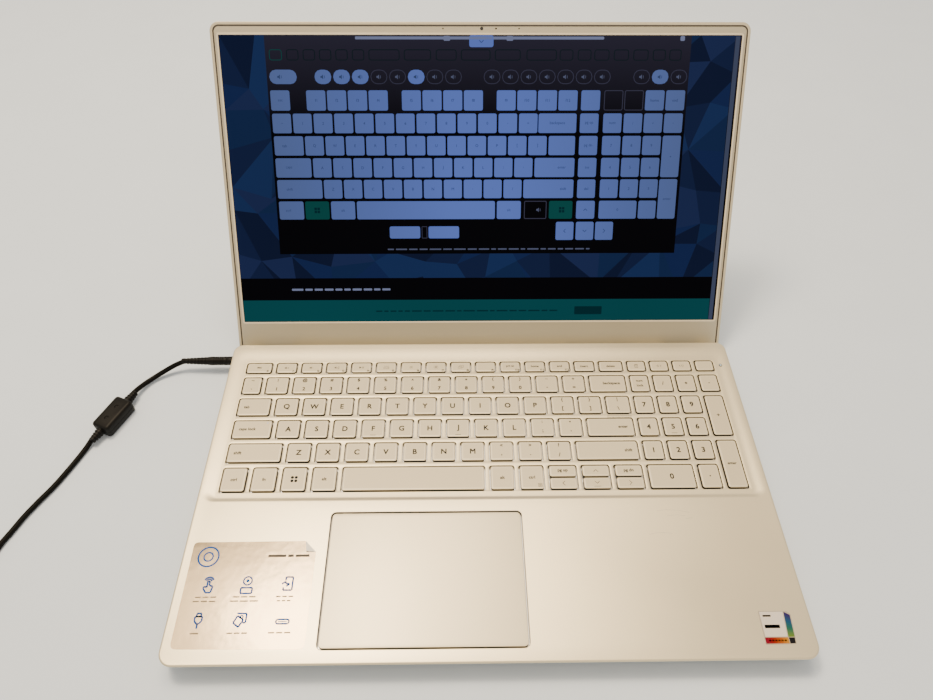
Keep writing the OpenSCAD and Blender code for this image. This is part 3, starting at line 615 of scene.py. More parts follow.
# The hook-and-loop tie round the coil
maker = Maker()
mid_r = (COIL_IN + COIL_OUT) / 2
half_w = (COIL_OUT - COIL_IN) / 2 + LEAD_R
tie_rect = (mid_r - half_w - 0.1, 0.4, mid_r + half_w + 0.1, 7.6)
section = rounded(tie_rect, 1.6, 1.6, 4)
outer_section = rounded(tie_rect, 1.6, 1.6, 4, 0.38)
loops = []
for a in (252.0, 252.8, 258, 264, 271.2, 272.0):
    t = radians(a)
    thin = 0.5 if a in (252.0, 272.0) else 1.0
    ring = []
    for (xi, zi), (xo, zo) in zip(section, outer_section):
        x = xi + (xo - xi) * thin
        z = max(0.02, zi + (zo - zi) * thin)
        ring.append((COIL_X + x * cos(t), COIL_Y + x * sin(t), z))
    loops.append(maker.loop(ring))
inner_loops = []
for a in (252.0, 258, 264, 272.0):
    t = radians(a)
    inner_loops.append(maker.loop([(COIL_X + x * cos(t), COIL_Y + x * sin(t), max(z, 0.01))
                                   for x, z in section]))
maker.skin(loops)
maker.skin(inner_loops)
maker.strip(loops[0], inner_loops[0])
maker.strip(loops[-1], inner_loops[-1])
tie = finish_piece(maker.done("lead_tie_strap", [rubber]), "power_lead", "rubber_black", "lead_tie")

# The adapter: two shells with a seam, raised panel lines, rubber feet and a three-pole inlet
maker = Maker()
rect = (ADAPTER_X - ADAPTER_W / 2, ADAPTER_Y0, ADAPTER_X + ADAPTER_W / 2, ADAPTER_Y0 + ADAPTER_L)
shell_rows = [(-2.4, 0.4), (-1.0, 0.7), (-0.25, 1.5), (0, 2.8), (0, 14.1), (-0.3, 14.3),
              (-0.3, 14.7), (0, 14.9), (0, 25.6), (-0.3, 27.2), (-1.1, 28.4), (-2.4, 28.9),
              (-4.0, ADAPTER_H), (-7.5, ADAPTER_H), (-7.8, 28.85), (-8.3, 28.85),
              (-8.6, ADAPTER_H)]
maker.solid(rect, 5, 5, 7, shell_rows)
for sx in (-1, 1):
    for y in (ADAPTER_Y0 + 11, ADAPTER_Y0 + ADAPTER_L - 11):
        maker.turned((ADAPTER_X + sx * 15, y, 0), 2, [(0, 3.4), (0.05, 3.7), (0.5, 3.7)], 24, 1)
adapter = maker.done("power_adapter_shell", [black_plastic, rubber])
cutter = Maker()
cutter.box((ADAPTER_X - 9.5, ADAPTER_Y0 - 3, 8), (ADAPTER_X + 9.5, ADAPTER_Y0 + 14, 21), 1.5, 4)
carve(adapter, cutter.done("inlet_cutter", [black_plastic]))
maker = Maker()
maker.bm.from_mesh(adapter.data)
outlet = [(107.5, 4.4), (109.5, 4.4), (110.3, 3.7)]
outlet += ribs(111.4, 2.6, 7, 3.55, 0.2, ((0, 0), (0.2, -0.4), (1.1, -0.42), (1.3, -0.06)))
outlet += [(131.0, 2.05), (132.0, 1.9)]
maker.turned((ADAPTER_X, ADAPTER_Y0, OUTLET_Z), 1, outlet, 28)
for x in (-4.5, 4.5):
    maker.turned((ADAPTER_X + x, ADAPTER_Y0, 14.5), 1,
                 [(15, 1.2), (3.9, 1.2), (3.2, 0.9), (3.0, 0.5)], 20, 2)
old = adapter
adapter = maker.done("power_adapter_case", [black_plastic, rubber, port_steel])
bpy.data.objects.remove(old)
finish_piece(adapter, "power_lead", "black_plastic", "power_adapter")


# ---------------------------------------------------------------- key wells
def wells_of(row, x0, widths):
    """Wells of one row as (x0, y0, x1, y1)."""
    y = KEYS_Y0 + sum(h + ROW_WEB for h in ROW_H[:row])
    out = []
    for w in widths:
        out.append((x0, y, x0 + w, y + ROW_H[row]))
        x0 += w + WEB
    return out


def filled(widths):
    return widths + [KEYS_X1 - KEYS_X0 - sum(widths) - len(widths) * WEB]


def merged(a, b):
    return (a[0], a[1], b[2], b[3])


row_0 = wells_of(0, KEYS_X0, [BIG_KEY_W] * 4 + [91.0, 16.3, 16.3] + [ARROW_W] * 3)
row_1, row_2, row_3, row_4, row_5 = [
    wells_of(row, KEYS_X0, filled([first] + [width] * count))
    for row, first, width, count in ((1, 35.8, KEY_W, 10), (2, 26.45, KEY_W, 11),
                                     (3, 22.8, KEY_W, 12), (4, 13.65, KEY_W, 12),
                                     (5, 18.7, F_KEY_W, 13))]
pad_rows = [wells_of(r, NUMPAD_X0, [NUMPAD_W] * 4) for r in range(6)]
plus_well = merged(pad_rows[2][3], pad_rows[3][3])
enter_well = merged(pad_rows[0][3], pad_rows[1][3])
zero_well = merged(pad_rows[0][0], pad_rows[0][1])
numpad_wells = (pad_rows[4] + pad_rows[3][:3] + pad_rows[2][:3] + pad_rows[1][:3]
                + [plus_well, enter_well, zero_well, pad_rows[0][2]])
all_wells = row_0 + row_1 + row_2 + row_3 + row_4 + row_5 + numpad_wells + pad_rows[5]

# ---------------------------------------------------------------- the base's upper case
TUCK = 2.6
TUCK_DEPTH = 9.0
TUCK_TOP = 14.95


def tuck_under(maker):
    """Leans the front wall back towards its foot."""
    for v in maker.bm.verts:
        y = v.co.y * 1000 + MID_Y
        z = v.co.z * 1000
        if y < TUCK_DEPTH and z < TUCK_TOP:
            drop = min(1.0, (TUCK_TOP - z) / (TUCK_TOP - SPLIT_Z))
            v.co.y += TUCK * drop * (TUCK_DEPTH - y) / TUCK_DEPTH / 1000


BASE_RECT = (-HALF_W, 0, HALF_W, BASE_D)
RECESS_OUTER = (-176.2, 96.0, 176.2, 217.6)
RECESS_INNER = (-167.8, 99.4, 167.8, 206.6)
BOX_STEPS = 10
HINGE_SPAN = (137.5, 162.0)

maker = Maker()
outer = maker.rows(BASE_RECT, FRONT_R, REAR_R, BOX_STEPS, [
    (-1.1, DECK_Z), (-0.62, 15.76), (-0.28, 15.6), (-0.07, 15.33), (0, 14.95), (0, 6.0),
    (-0.08, 5.72), (-0.3, SPLIT_Z), (-2.2, SPLIT_Z), (-2.2, DECK_UNDER)])
recess = []
for t, z in ((0.0, DECK_Z), (0.12, 15.78), (0.3, 15.66), (0.5, 15.42), (0.7, 15.16),
             (0.88, 15.03), (1.0, BED_Z)):
    edge = lerp(RECESS_OUTER, RECESS_INNER, t)
    corner = 8 - 5 * t
    recess.append(maker.loop([(x, y, z) for x, y in rounded(edge, corner, corner, 6)]))
maker.skin(recess)
# The touchpad hole: a bright cut chamfer, then walls of painted shade.
pad_hole = maker.rows(PAD, PAD_R, PAD_R, 8, [
    (0.3, DECK_Z), (0.0, 15.55, 2), (0, 15.4, 3), (0, DECK_UNDER, 3)])
maker.fill([outer[0], recess[0], pad_hole[0]])
tops = []
lows = [pad_hole[-1]]
# The key wells: their walls below the bed are painted shade.
for well in all_wells:
    rings = maker.rows(well, WELL_R, WELL_R, 4, [
        (0.12, BED_Z), (0.04, 14.97), (0, 14.9), (0, DECK_UNDER, 3)])
    tops.append(rings[0])
    lows.append(rings[-1])
maker.fill([recess[-1]] + tops, 1)
maker.fill([outer[-1]] + lows, 3)
tuck_under(maker)
# The bed of the keyboard rises towards the hinge, so the recess is deepest at its front
BED_RISE = 0.35
for v in maker.bm.verts:
    x = v.co.x * 1000
    y = v.co.y * 1000 + MID_Y
    z = v.co.z * 1000
    if abs(x) < 176.4 and RECESS_INNER[1] < y < RECESS_OUTER[3] + 0.1 and 14.8 < z < DECK_Z:
        along = min(1.0, (y - RECESS_INNER[1]) / (RECESS_INNER[3] - RECESS_INNER[1]))
        v.co.z += BED_RISE * along * (DECK_Z - z) / (DECK_Z - BED_Z) / 1000
top_shell = maker.done("base_upper_shell", [silver, silver_bed, cut_edge, gap_painted_shade])


def cut_wall(place, rect, edge, steps, rows):
    """Cuts a rounded opening through a wall of the upper case; its walls take the cutter's painted
    shade.
    """
    cutter = Maker(place)
    cutter.solid(rect, edge, edge, steps, rows)
    carve(top_shell, cutter.done("cutter", [gap_painted_shade]))


# Openings in the left (-1) and right (1) walls, then the outlet slots in the rear wall
for side, y0, y1, z0, z1, edge in ((-1, 209.6, 216.4, 5.9, 12.3, 3.1),
                                   (-1, 180.0, 196.0, 6.0, 11.9, 1.2),
                                   (-1, 159.0, 173.0, 6.0, 11.9, 0.6),
                                   (-1, 143.1, 152.9, 7.1, 10.7, 1.7),
                                   (1, 111.3, 136.7, 7.3, 10.7, 0.6),
                                   (1, 143.0, 157.0, 6.0, 11.9, 0.6),
                                   (1, 164.5, 171.5, 6.0, 11.9, 2.8)):
    cut_wall(lambda x, y, z: mm(side * z, x, y), (y0, z0, y1, z1), edge, 5,
             [(0.35, 179), (0.35, 178.01), (0, 177.7), (0, 173)])
for x in range(64, 110, 5):
    cut_wall(lambda a, b, c: mm(a, c, b), (x, 6.2, x + 3, 11.2), 1.4, 4, [(0, 219), (0, 224)])
# Room for the hinges, its walls painted shade.
hinge_room(top_shell, mm, HINGE_SPAN, (212, 3), (226, DECK_UNDER), 0.4, gap_painted_shade)
finish_piece(top_shell, "base", "silver_case", "top_case")


# ---------------------------------------------------------------- legends
TEXT_SHAPES = {}


def text_shape(body, size):
    """The built-in font's outlines of a word, as flat points and faces in millimetres."""
    key = (body, size)
    if key not in TEXT_SHAPES:
        curve = bpy.data.curves.new("word", "FONT")
        curve.body = body
        curve.size = size
        curve.resolution_u = 3
        curve.align_x = curve.align_y = "CENTER"
        obj = add_object("word", curve)
        dg = bpy.context.evaluated_depsgraph_get()
        mesh = bpy.data.meshes.new_from_object(obj.evaluated_get(dg))
        points = [(v.co.x, v.co.y) for v in mesh.vertices]
        low, high = [[pick(axis) for axis in zip(*points)] for pick in (min, max)]
        mid_x, mid_y = [(a + b) / 2 for a, b in zip(low, high)]
        points = [(x - mid_x, y - mid_y) for x, y in points]
        TEXT_SHAPES[key] = (points, [list(p.vertices) for p in mesh.polygons], high[0] - low[0])
        bpy.data.objects.remove(obj)
        bpy.data.meshes.remove(mesh)
    return TEXT_SHAPES[key]


class Print:
    """Flat printed marks, a few hundredths of a millimetre thick."""

    def __init__(self, z, place=mm, thick=0.02, weight=0.0):
        self.maker = Maker(place)
        self.z = z
        self.thick = thick
        self.weight = weight
        self.out = -1 if thick > 0 else 1

    def shape(self, points, faces, x, y, mat=0):
        tops = self.maker.loop([(x + a, y + b, self.z) for a, b in points])
        for f in faces:
            self.maker.face([tops[i] for i in f], mat, False)

    def text(self, body, x, y, size, align="C", mat=0):
        points, faces, width = text_shape(body, size)
        if align == "L":
            x += width / 2
        if align == "R":
            x -= width / 2
        heavy = size * self.weight
        for i, (a, b) in enumerate(((-1, -1), (1, -1), (1, 1), (-1, 1)) if heavy else ((0, 0),)):
            self.z -= 0.002 * i * self.out
            self.shape(points, faces, x + a * heavy, y + b * heavy, mat)
            self.z += 0.002 * i * self.out

    def poly(self, points, x=0.0, y=0.0, mat=0):
        self.shape(points, [list(range(len(points)))], x, y, mat)

    def bar(self, x0, y0, x1, y1, width, mat=0):
        d = Vector((x1 - x0, y1 - y0)).normalized() * width / 2
        self.poly([(x0 + d.y, y0 - d.x), (x1 + d.y, y1 - d.x), (x1 - d.y, y1 + d.x),
                   (x0 - d.y, y0 + d.x)], 0, 0, mat)

    def ring(self, x, y, outer, inner, steps=20, mat=0):
        points = []
        for i in range(steps):
            a = 2 * pi * i / steps
            points.append((outer * cos(a), outer * sin(a)))
            points.append((inner * cos(a), inner * sin(a)))
        faces = []
        for i in range(steps):
            j = (i + 1) % steps
            faces.append([2 * i, 2 * j, 2 * j + 1, 2 * i + 1])
        self.shape(points, faces, x, y, mat)

    def disc(self, x, y, r, steps=16, mat=0):
        self.poly(arc(0, 0, r, 0, 360 - 360 / steps, steps - 1), x, y, mat)

    def frame(self, x, y, w, h, line, mat=0):
        for a, b, c, d in ((-w, -h, w, -h), (-w, h, w, h), (-w, -h, -w, h), (w, -h, w, h)):
            self.bar(x + a / 2, y + b / 2, x + c / 2, y + d / 2, line, mat)

    def chevron(self, x, y, dx, dy, size, line=0.32):
        """A thin arrow head that points along (dx, dy)."""
        tip = (x + dx * size / 2, y + dy * size / 2)
        for s in (-1, 1):
            self.bar(x - dx * size / 2 - dy * s * size, y - dy * size / 2 + dx * s * size,
                     tip[0], tip[1], line)

    def sun(self, x, y, r):
        self.ring(x, y, r * 0.55, r * 0.32, 12)
        for k in range(8):
            a = pi * k / 4
            self.bar(x + r * 0.75 * cos(a), y + r * 0.75 * sin(a),
                     x + r * 1.15 * cos(a), y + r * 1.15 * sin(a), 0.18)

    def speaker(self, x, y, waves):
        self.poly([(-1.5, -0.4), (-0.9, -0.4), (-0.2, -1.0), (-0.2, 1.0), (-0.9, 0.4), (-1.5, 0.4)],
                  x, y)
        for i in range(waves):
            r = 0.7 + 0.6 * i
            ends = arc(x - 0.1, y, r, -45, 45, 5)
            for a, b in zip(ends, ends[1:]):
                self.bar(a[0], a[1], b[0], b[1], 0.18)

    def done(self, name, mats):
        bm = self.maker.bm
        top = list(bm.faces)
        made = bmesh.ops.extrude_face_region(bm, geom=top)
        low = [v for v in made["geom"] if isinstance(v, bmesh.types.BMVert)]
        shift = self.maker.place(0, 100, 10 - self.thick) - self.maker.place(0, 100, 10)
        bmesh.ops.translate(bm, verts=low, vec=shift)
        return self.maker.done(name, mats, 30, False)


LEGEND_Z = CAP_TOP - 0.015
WORD = 2.95
LETTER = 5.2
SIGN = 3.9


def centre(well):
    return (well[0] + well[2]) / 2, (well[1] + well[3]) / 2


def letter(ink, well, body, size=LETTER):
    x, y = centre(well)
    ink.text(body, x, y, size)


def stacked(ink, well, upper, lower):
    """A shifted sign above its plain one."""
    x, y = centre(well)
    ink.text(upper, x, y + 4.3, SIGN * 0.88)
    ink.text(lower, x, y - 3.0, SIGN)


def left_word(ink, well, body):
    ink.text(body, well[0] + 4.6, (well[1] + well[3]) / 2, WORD, "L")


def right_word(ink, well, body):
    ink.text(body, well[2] - 4.6, (well[1] + well[3]) / 2, WORD, "R")


def arrow_halves(well):
    mid = (well[1] + well[3]) / 2
    gap = 0.5
    upper = (well[0], mid + gap - KEY_GAP, well[2], well[3])
    lower = (well[0], well[1], well[2], mid - gap + KEY_GAP)
    return upper, lower


def ink_escape(ink):
    x, y = centre(row_5[0])
    ink.text("esc", x, y + 0.3, WORD * 0.85)
    ink.poly([(-0.7, -0.7), (0.7, -0.7), (0.7, 0.3), (-0.7, 0.3)], x + 6.2, y - 2.6)
    ink.ring(x + 6.2, y - 2.3, 0.5, 0.28, 12)


def ink_function(ink):
    spots = [centre(w) for w in row_5[1:]]
    for i in range(12):
        x, y = spots[i]
        ink.text("f" + str(i + 1), x + 4.9, y - 2.9, 2.2)
    x, y = spots[0]
    ink.speaker(x, y, 0)
    ink.bar(x + 0.4, y - 0.5, x + 1.4, y + 0.5, 0.2)
    ink.bar(x + 0.4, y + 0.5, x + 1.4, y - 0.5, 0.2)
    ink.speaker(spots[1][0], spots[1][1], 1)
    ink.speaker(spots[2][0], spots[2][1], 3)
    x, y = spots[3]
    ink.poly([(-1.6, -0.9), (-0.1, 0), (-1.6, 0.9)], x, y)
    ink.bar(x + 0.5, y - 0.8, x + 0.5, y + 0.8, 0.3)
    ink.bar(x + 1.3, y - 0.8, x + 1.3, y + 0.8, 0.3)
    x, y = spots[4]
    ink.frame(x, y - 0.4, 3.6, 1.6, 0.18)
    for k in range(4):
        ink.bar(x - 1.2 + 0.8 * k, y - 0.4, x - 0.8 + 0.8 * k, y - 0.4, 0.25)
    for k in (-1, 0, 1):
        ink.bar(x + k * 0.9, y + 0.9, x + k * 1.2, y + 1.5, 0.18)
    ink.sun(spots[5][0], spots[5][1], 1.1)
    ink.sun(spots[6][0], spots[6][1], 1.5)
    x, y = spots[7]
    ink.frame(x - 0.5, y - 0.3, 2.6, 1.8, 0.18)
    ink.frame(x + 0.6, y + 0.5, 2.6, 1.8, 0.18)
    for i, body in ((9, "prt sc"), (10, "home"), (11, "end")):
        ink.text(body, spots[i][0], spots[i][1] + 0.3, WORD * 0.82)
    ink.text("insert", spots[12][0], spots[12][1], WORD * 0.82)
    ink.text("delete", spots[13][0], spots[13][1], WORD * 0.82)
    x, y = centre(pad_rows[5][0])
    ink.frame(x, y, 2.2, 2.8, 0.22)
    ink.bar(x - 0.7, y + 0.8, x + 0.7, y + 0.8, 0.4)
    for a in (-0.5, 0.0, 0.5):
        for b in (-0.9, -0.2):
            ink.disc(x + a, y + b, 0.16, 8)
    for k, sign in ((1, 1), (2, -1)):
        x, y = centre(pad_rows[5][k])
        ink.ring(x - 0.6 * sign, y, 0.8, 0.6, 14)
        ink.chevron(x + 1.3 * sign, y, sign, 0, 0.8, 0.2)


def ink_numbers(ink):
    pairs = ["~`", "!1", "@2", "#3", "$4", "%5", "^6", "&7", "*8", "(9", ")0", "_-", "+="]
    for well, pair in zip(row_4, pairs):
        stacked(ink, well, pair[0], pair[1])


def ink_upper(ink):
    for well, body in zip(row_3[1:], "QWERTYUIOP"):
        letter(ink, well, body)
    for well, pair in zip(row_3[11:], ["{[", "}]", "|\\"]):
        stacked(ink, well, pair[0], pair[1])


def ink_home(ink):
    for well, body in zip(row_2[1:], "ASDFGHJKL"):
        letter(ink, well, body)
        if body in "FJ":
            x, y = centre(well)
            ink.bar(x - 1.9, y - 5.2, x + 1.9, y - 5.2, 0.35)
    stacked(ink, row_2[10], ":", ";")
    stacked(ink, row_2[11], chr(34), "'")


def ink_lower(ink):
    for well, body in zip(row_1[1:], "ZXCVBNM"):
        letter(ink, well, body)
    for well, pair in zip(row_1[8:], ["<,", ">.", "?/"]):
        stacked(ink, well, pair[0], pair[1])


def ink_modifiers(ink):
    for index, body in ((0, "ctrl"), (1, "fn"), (3, "alt"), (5, "alt"), (6, "ctrl")):
        letter(ink, row_0[index], body, WORD)
    x, y = centre(row_0[2])
    for a in (-1.2, 1.2):
        for b in (-1.2, 1.2):
            ink.disc(x + a, y + b, 0.98, 16, 1)
    x, y = centre(row_0[6])
    ink.frame(x + 4.9, y - 5.6, 2.4, 2.2, 0.2)
    for b in (-0.5, 0.0, 0.5):
        ink.bar(x + 4.1, y - 5.6 + b, x + 5.7, y - 5.6 + b, 0.2)


def ink_arrows(ink):
    halves = [arrow_halves(w) for w in row_0[7:]]
    ink.text("pg up", *centre(halves[0][0]), WORD)
    ink.text("pg dn", *centre(halves[2][0]), WORD)
    x, y = centre(halves[1][0])
    ink.chevron(x, y, 0, 1, 1.5)
    x, y = centre(halves[0][1])
    ink.chevron(x, y, -1, 0, 1.5)
    x, y = centre(halves[1][1])
    ink.chevron(x, y + 0.4, 0, -1, 1.5)
    ink.bar(x - 2.2, y - 2.4, x + 2.2, y - 2.4, 0.3)
    x, y = centre(halves[2][1])
    ink.chevron(x, y, 1, 0, 1.5)


def ink_numpad(ink):
    x, y = centre(pad_rows[4][0])
    ink.text("num", x, y + 2.0, WORD * 0.9)
    ink.text("lock", x, y - 1.8, WORD * 0.9)
    for well, body in zip(pad_rows[4][1:], "/*-"):
        letter(ink, well, body, SIGN)
    for row, digits in ((3, "789"), (2, "456"), (1, "123")):
        for well, body in zip(pad_rows[row], digits):
            letter(ink, well, body, LETTER)
    x, y = centre(pad_rows[2][1])
    ink.bar(x - 1.9, y - 5.2, x + 1.9, y - 5.2, 0.35)
    letter(ink, zero_well, "0", LETTER)
    letter(ink, pad_rows[0][2], ".", LETTER)
    letter(ink, plus_well, "+", SIGN)
    letter(ink, enter_well, "enter", WORD * 0.9)


# ---------------------------------------------------------------- key caps
# Rows of material 1 paint shade on the caps' lower sides and undersides; rows of material 2 are a
# painted highlight on the crest of the top bevel.
CAP_ROWS = [(-0.25, 14.0, 1), (0, 14.15, 1), (0, 15.1, 1), (0, 15.46, 1), (-0.04, 15.53, 0),
            (-0.2, 15.62, 0), (-0.5, 15.7, 0), (-0.8, 15.745, 2), (-1.15, 15.75, 2),
            (-2.2, 15.738, 0)]


def key_piece(node, wells, ink_of=None):
    """The caps of one node, softly dished, and the legends printed on them."""
    body = node + "_body"
    if node == "power_button":
        body = "power_key"
    maker = Maker()
    for well in wells:
        rows = [(g - KEY_GAP, z, m) for g, z, m in CAP_ROWS]
        maker.solid(well, 1.4 + KEY_GAP, 1.4 + KEY_GAP, 5, rows, (1, 0))
    caps = maker.done(node + "_caps", [key_finish, gap_painted_shade, key_edge_highlight])
    finish_piece(caps, body, "key_plastic", node)
    if ink_of:
        ink = Print(LEGEND_Z + 0.03, mm, 0.02, 0.026)
        ink_of(ink)
        finish_piece(ink.done(node + "_legends", [legend_ink, label_ink]), body, "key_plastic")


def word_ink(place, well, body):
    return lambda ink: place(ink, well, body)


arrow_wells = []
for well in row_0[7:]:
    arrow_wells += list(arrow_halves(well))

key_piece("power_button", [pad_rows[5][3]])
key_piece("escape_key", [row_5[0]], ink_escape)
key_piece("function_keys", row_5[1:] + pad_rows[5][:3], ink_function)
key_piece("number_keys", row_4[:13], ink_numbers)
key_piece("backspace_key", [row_4[13]], word_ink(right_word, row_4[13], "backspace"))
key_piece("tab_key", [row_3[0]], word_ink(left_word, row_3[0], "tab"))
key_piece("upper_letter_keys", row_3[1:], ink_upper)
key_piece("caps_lock_key", [row_2[0]], word_ink(left_word, row_2[0], "caps lock"))
key_piece("home_letter_keys", row_2[1:12], ink_home)
key_piece("enter_key", [row_2[12]], word_ink(right_word, row_2[12], "enter"))
key_piece("left_shift_key", [row_1[0]], word_ink(left_word, row_1[0], "shift"))
key_piece("lower_letter_keys", row_1[1:11], ink_lower)
key_piece("right_shift_key", [row_1[11]], word_ink(right_word, row_1[11], "shift"))
key_piece("modifier_keys", row_0[:4] + row_0[5:7], ink_modifiers)
key_piece("space_bar", [row_0[4]])
key_piece("arrow_keys", arrow_wells, ink_arrows)
key_piece("numpad_keys", numpad_wells, ink_numpad)


# ---------------------------------------------------------------- the touchpad
maker = Maker()
# The touchpad's sides below its rounded top edge are painted shade.
maker.solid(PAD, PAD_R, PAD_R, 8, [
    (-1.0, 13.7, 1), (-0.8, 13.9, 1), (-0.8, 15.3, 1), (-0.83, 15.46), (-0.94, 15.56),
    (-1.2, 15.6)], (1, 0))
finish_piece(maker.done("touchpad_surface", [pad_finish, gap_painted_shade]), "touchpad_plate",
             "touch_glass", "touchpad")

# ---------------------------------------------------------------- the bottom cover and feet
FLOOR_Z = 4.4
COVER_EDGE = (-177.1, 0.9, 177.1, 221.6)
COVER_FLAT = (-169.0, 9.0, 169.0, 219.5)
BOSS_SPOTS = [(-158, 14), (-112, 14), (60, 14), (158, 14), (-150, 95.2), (0, 95.2), (150, 95.2),
              (-122, 212.6), (-60, 212.6), (122, 212.6)]

maker = Maker()
inner = maker.rows(BASE_RECT, FRONT_R, REAR_R, BOX_STEPS, [
    (-7.0, FLOOR_Z), (-2.6, 5.35), (-2.1, 5.5), (-0.5, 5.55), (-0.32, 5.45), (-0.36, 5.25),
    (-0.9, 5.0)])
flat_rings = []
for t, z in ((0.45, 4.02), (0.86, 3.36), (1.0, COVER_Z)):
    edge = lerp(COVER_EDGE, COVER_FLAT, t)
    flat_rings.append(maker.loop([(x, y, z) for x, y in rounded(edge, 7.0, 6.0, BOX_STEPS)]))
maker.skin([inner[-1]] + flat_rings)
holes = [((65, 160 + 4.8 * i, 109, 160 + 4.8 * i + 2), 0.9) for i in range(7)]
for side in (-1, 1):
    for i in range(10):
        x0 = side * (131 + 3.2 * i)
        x1 = side * (132.4 + 3.2 * i)
        holes.append(((min(x0, x1), 30, max(x0, x1), 44), 0.65))
under = [flat_rings[-1]]
above = [inner[0]]
for rect, r in holes:
    rings = maker.rows(rect, r, r, 4, [(0.25, COVER_Z), (0, 3.42), (0, FLOOR_Z)])
    under.append(rings[0])
    above.append(rings[-1])
# The screw bosses, their recessed floors painted shade.
for x, y in BOSS_SPOTS:
    rim = maker.loop([(a, b, COVER_Z) for a, b in arc(x, y, 2.75, 0, 348, 29)])
    step = maker.loop([(a, b, 3.4) for a, b in arc(x, y, 2.45, 0, 348, 29)])
    low = maker.loop([(a, b, 3.92) for a, b in arc(x, y, 2.45, 0, 348, 29)])
    maker.skin([rim, step, low])
    maker.face(low, 1)
    under.append(rim)
maker.fill(under)
maker.fill(above)
tuck_under(maker)
cover = maker.done("bottom_cover_shell", [under_plastic, gap_painted_shade])
hinge_room(cover, mm, HINGE_SPAN, (212, 1), (226, 8), 0.4, under_plastic)
finish_piece(cover, "base", "bottom_plastic", "bottom_cover")

maker = Maker()
foot_rows = [(0.0, COVER_Z), (0.0, 1.0), (-0.25, 0.45), (-0.8, 0.1), (-1.4, 0.0), (-1.9, 0.0),
             (-2.1, 0.25)]
maker.solid((-150, 194, 150, 202), 3.9, 3.9, 10, foot_rows)
finish_piece(maker.done("rear_foot_bar", [rubber]), "base", "rubber_black", "rear_foot")
maker = Maker()
for side in (-1, 1):
    x0, x1 = sorted((side * 96.0, side * 146.0))
    maker.solid((x0, 14, x1, 20), 2.9, 2.9, 10, foot_rows)
finish_piece(maker.done("front_foot_pads", [rubber]), "base", "rubber_black", "front_feet")

# ---------------------------------------------------------------- the lid
LID_RECT = (-LID_HALF, LID_Y0, LID_HALF, LID_Y1)
LID_FRONT_R = 6.0
LID_REAR_R = 3.0
RIM_W = 1.9
NOTCH_SPAN = (149.7, 160.4)


def lid_notches(obj, finish):
    """Room in the lid's hinge edge for the two hinge arms."""
    hinge_room(obj, opened, NOTCH_SPAN, (222.8, 15.1), (229, 19.6), 0.3, finish)


maker = Maker(opened)
maker.solid(LID_RECT, LID_FRONT_R, LID_REAR_R, BOX_STEPS, [
    (-RIM_W, 19.6), (-RIM_W, 16.35), (-1.78, 16.14), (-1.6, RIM_Z), (-0.45, RIM_Z),
    (-0.12, 16.22), (0, 16.55), (0, 18.7), (-0.12, 19.35), (-0.5, 19.95), (-1.1, 20.35),
    (-1.9, 20.55), (-3.0, LID_TOP)])
back = maker.done("lid_back_shell", [silver])
lid_notches(back, silver)
finish_piece(back, "lid", "silver_case", "lid_back_cover")

maker = Maker(opened)
drawn = maker.rows(LID_RECT, LID_FRONT_R, LID_REAR_R, BOX_STEPS, [
    (-RIM_W, PANEL_Z), (-RIM_W, 16.15), (-2.05, 16.0), (-2.4, 16.0), (-2.55, 16.15),
    (-2.6, PANEL_Z)])
maker.strip(drawn[-1], drawn[0])
seal = maker.done("lid_gasket_strip", [gasket_rubber])
lid_notches(seal, gasket_rubber)
finish_piece(seal, "lid", "gasket_rubber", "lid_gasket")

# The bezel: a thin bright lip round the picture, a camera hole and three pinholes. The wall down to
# the picture and the holes' walls and floors are painted shade.
maker = Maker(opened)
outer = maker.rows(LID_RECT, LID_FRONT_R, LID_REAR_R, BOX_STEPS, [
    (-2.62, PANEL_Z), (-2.62, 16.52), (-2.7, 16.36), (-2.95, BEZEL_Z)])
opening = (-SCREEN_HALF, SCREEN_Y0, SCREEN_HALF, SCREEN_Y1)
lip = maker.rows(opening, 0.5, 0.5, 3, [
    (1.25, BEZEL_Z), (1.1, 16.22), (0.35, 16.22, 1), (0.08, 16.34, 1), (0, 16.6, 1),
    (0, PANEL_Z, 2)])
marks = []
for x, r in ((0.0, 1.1), (-25.3, 0.45), (9.4, 0.55), (24.5, 0.45)):
    spot = arc(x, 4.5, r, 0, 345, 23)
    rim = maker.loop([(a, b, BEZEL_Z) for a, b in spot])
    low = maker.loop([(a, b, PANEL_Z if x == 0 else 16.7) for a, b in spot])
    maker.strip(rim, low, 2)
    if x:
        maker.face(low, 2)
        marks.append((rim, None))
    else:
        marks.append((rim, low))
maker.fill([outer[-1], lip[0]] + [m[0] for m in marks])
maker.fill([outer[0], lip[-1]] + [m[1] for m in marks if m[1]], 2)
bezel = maker.done("lid_bezel_frame", [silver_bezel_painted_shade, lip_finish, gap_painted_shade])
lid_notches(bezel, silver_bezel_painted_shade)
finish_piece(bezel, "lid", "silver_plastic", "lid_bezel")

maker = Maker(opened)
maker.turned((0, 4.5, 16.4), 2, [(0.75, 0.98), (0.15, 0.98), (0.02, 0.85), (0, 0.6), (0.08, 0.3),
                                 (0.12, 0.05)], 28)
finish_piece(maker.done("camera_lens_glass", [lens_glass]), "lid", "lens_glass", "camera_lens")

# ---------------------------------------------------------------- the display and its picture
maker = Maker(opened)
maker.box((-174.5, 6.0, 17.22), (174.5, 205.0, 19.5), 0.4)
finish_piece(maker.done("display_glass_panel", [screen_black]), "lid", "display_glass",
             "display_panel")

SCREEN_W = 344.2
SCREEN_H = 193.6
PANEL_X0 = 29.5
PANEL_X1 = 311.0
PANEL_Y = 144.0


def on_screen(u, w, z):
    """A point of the picture: across from its left edge, up from its bottom edge."""
    return opened(u - SCREEN_HALF, SCREEN_Y1 - w, z)


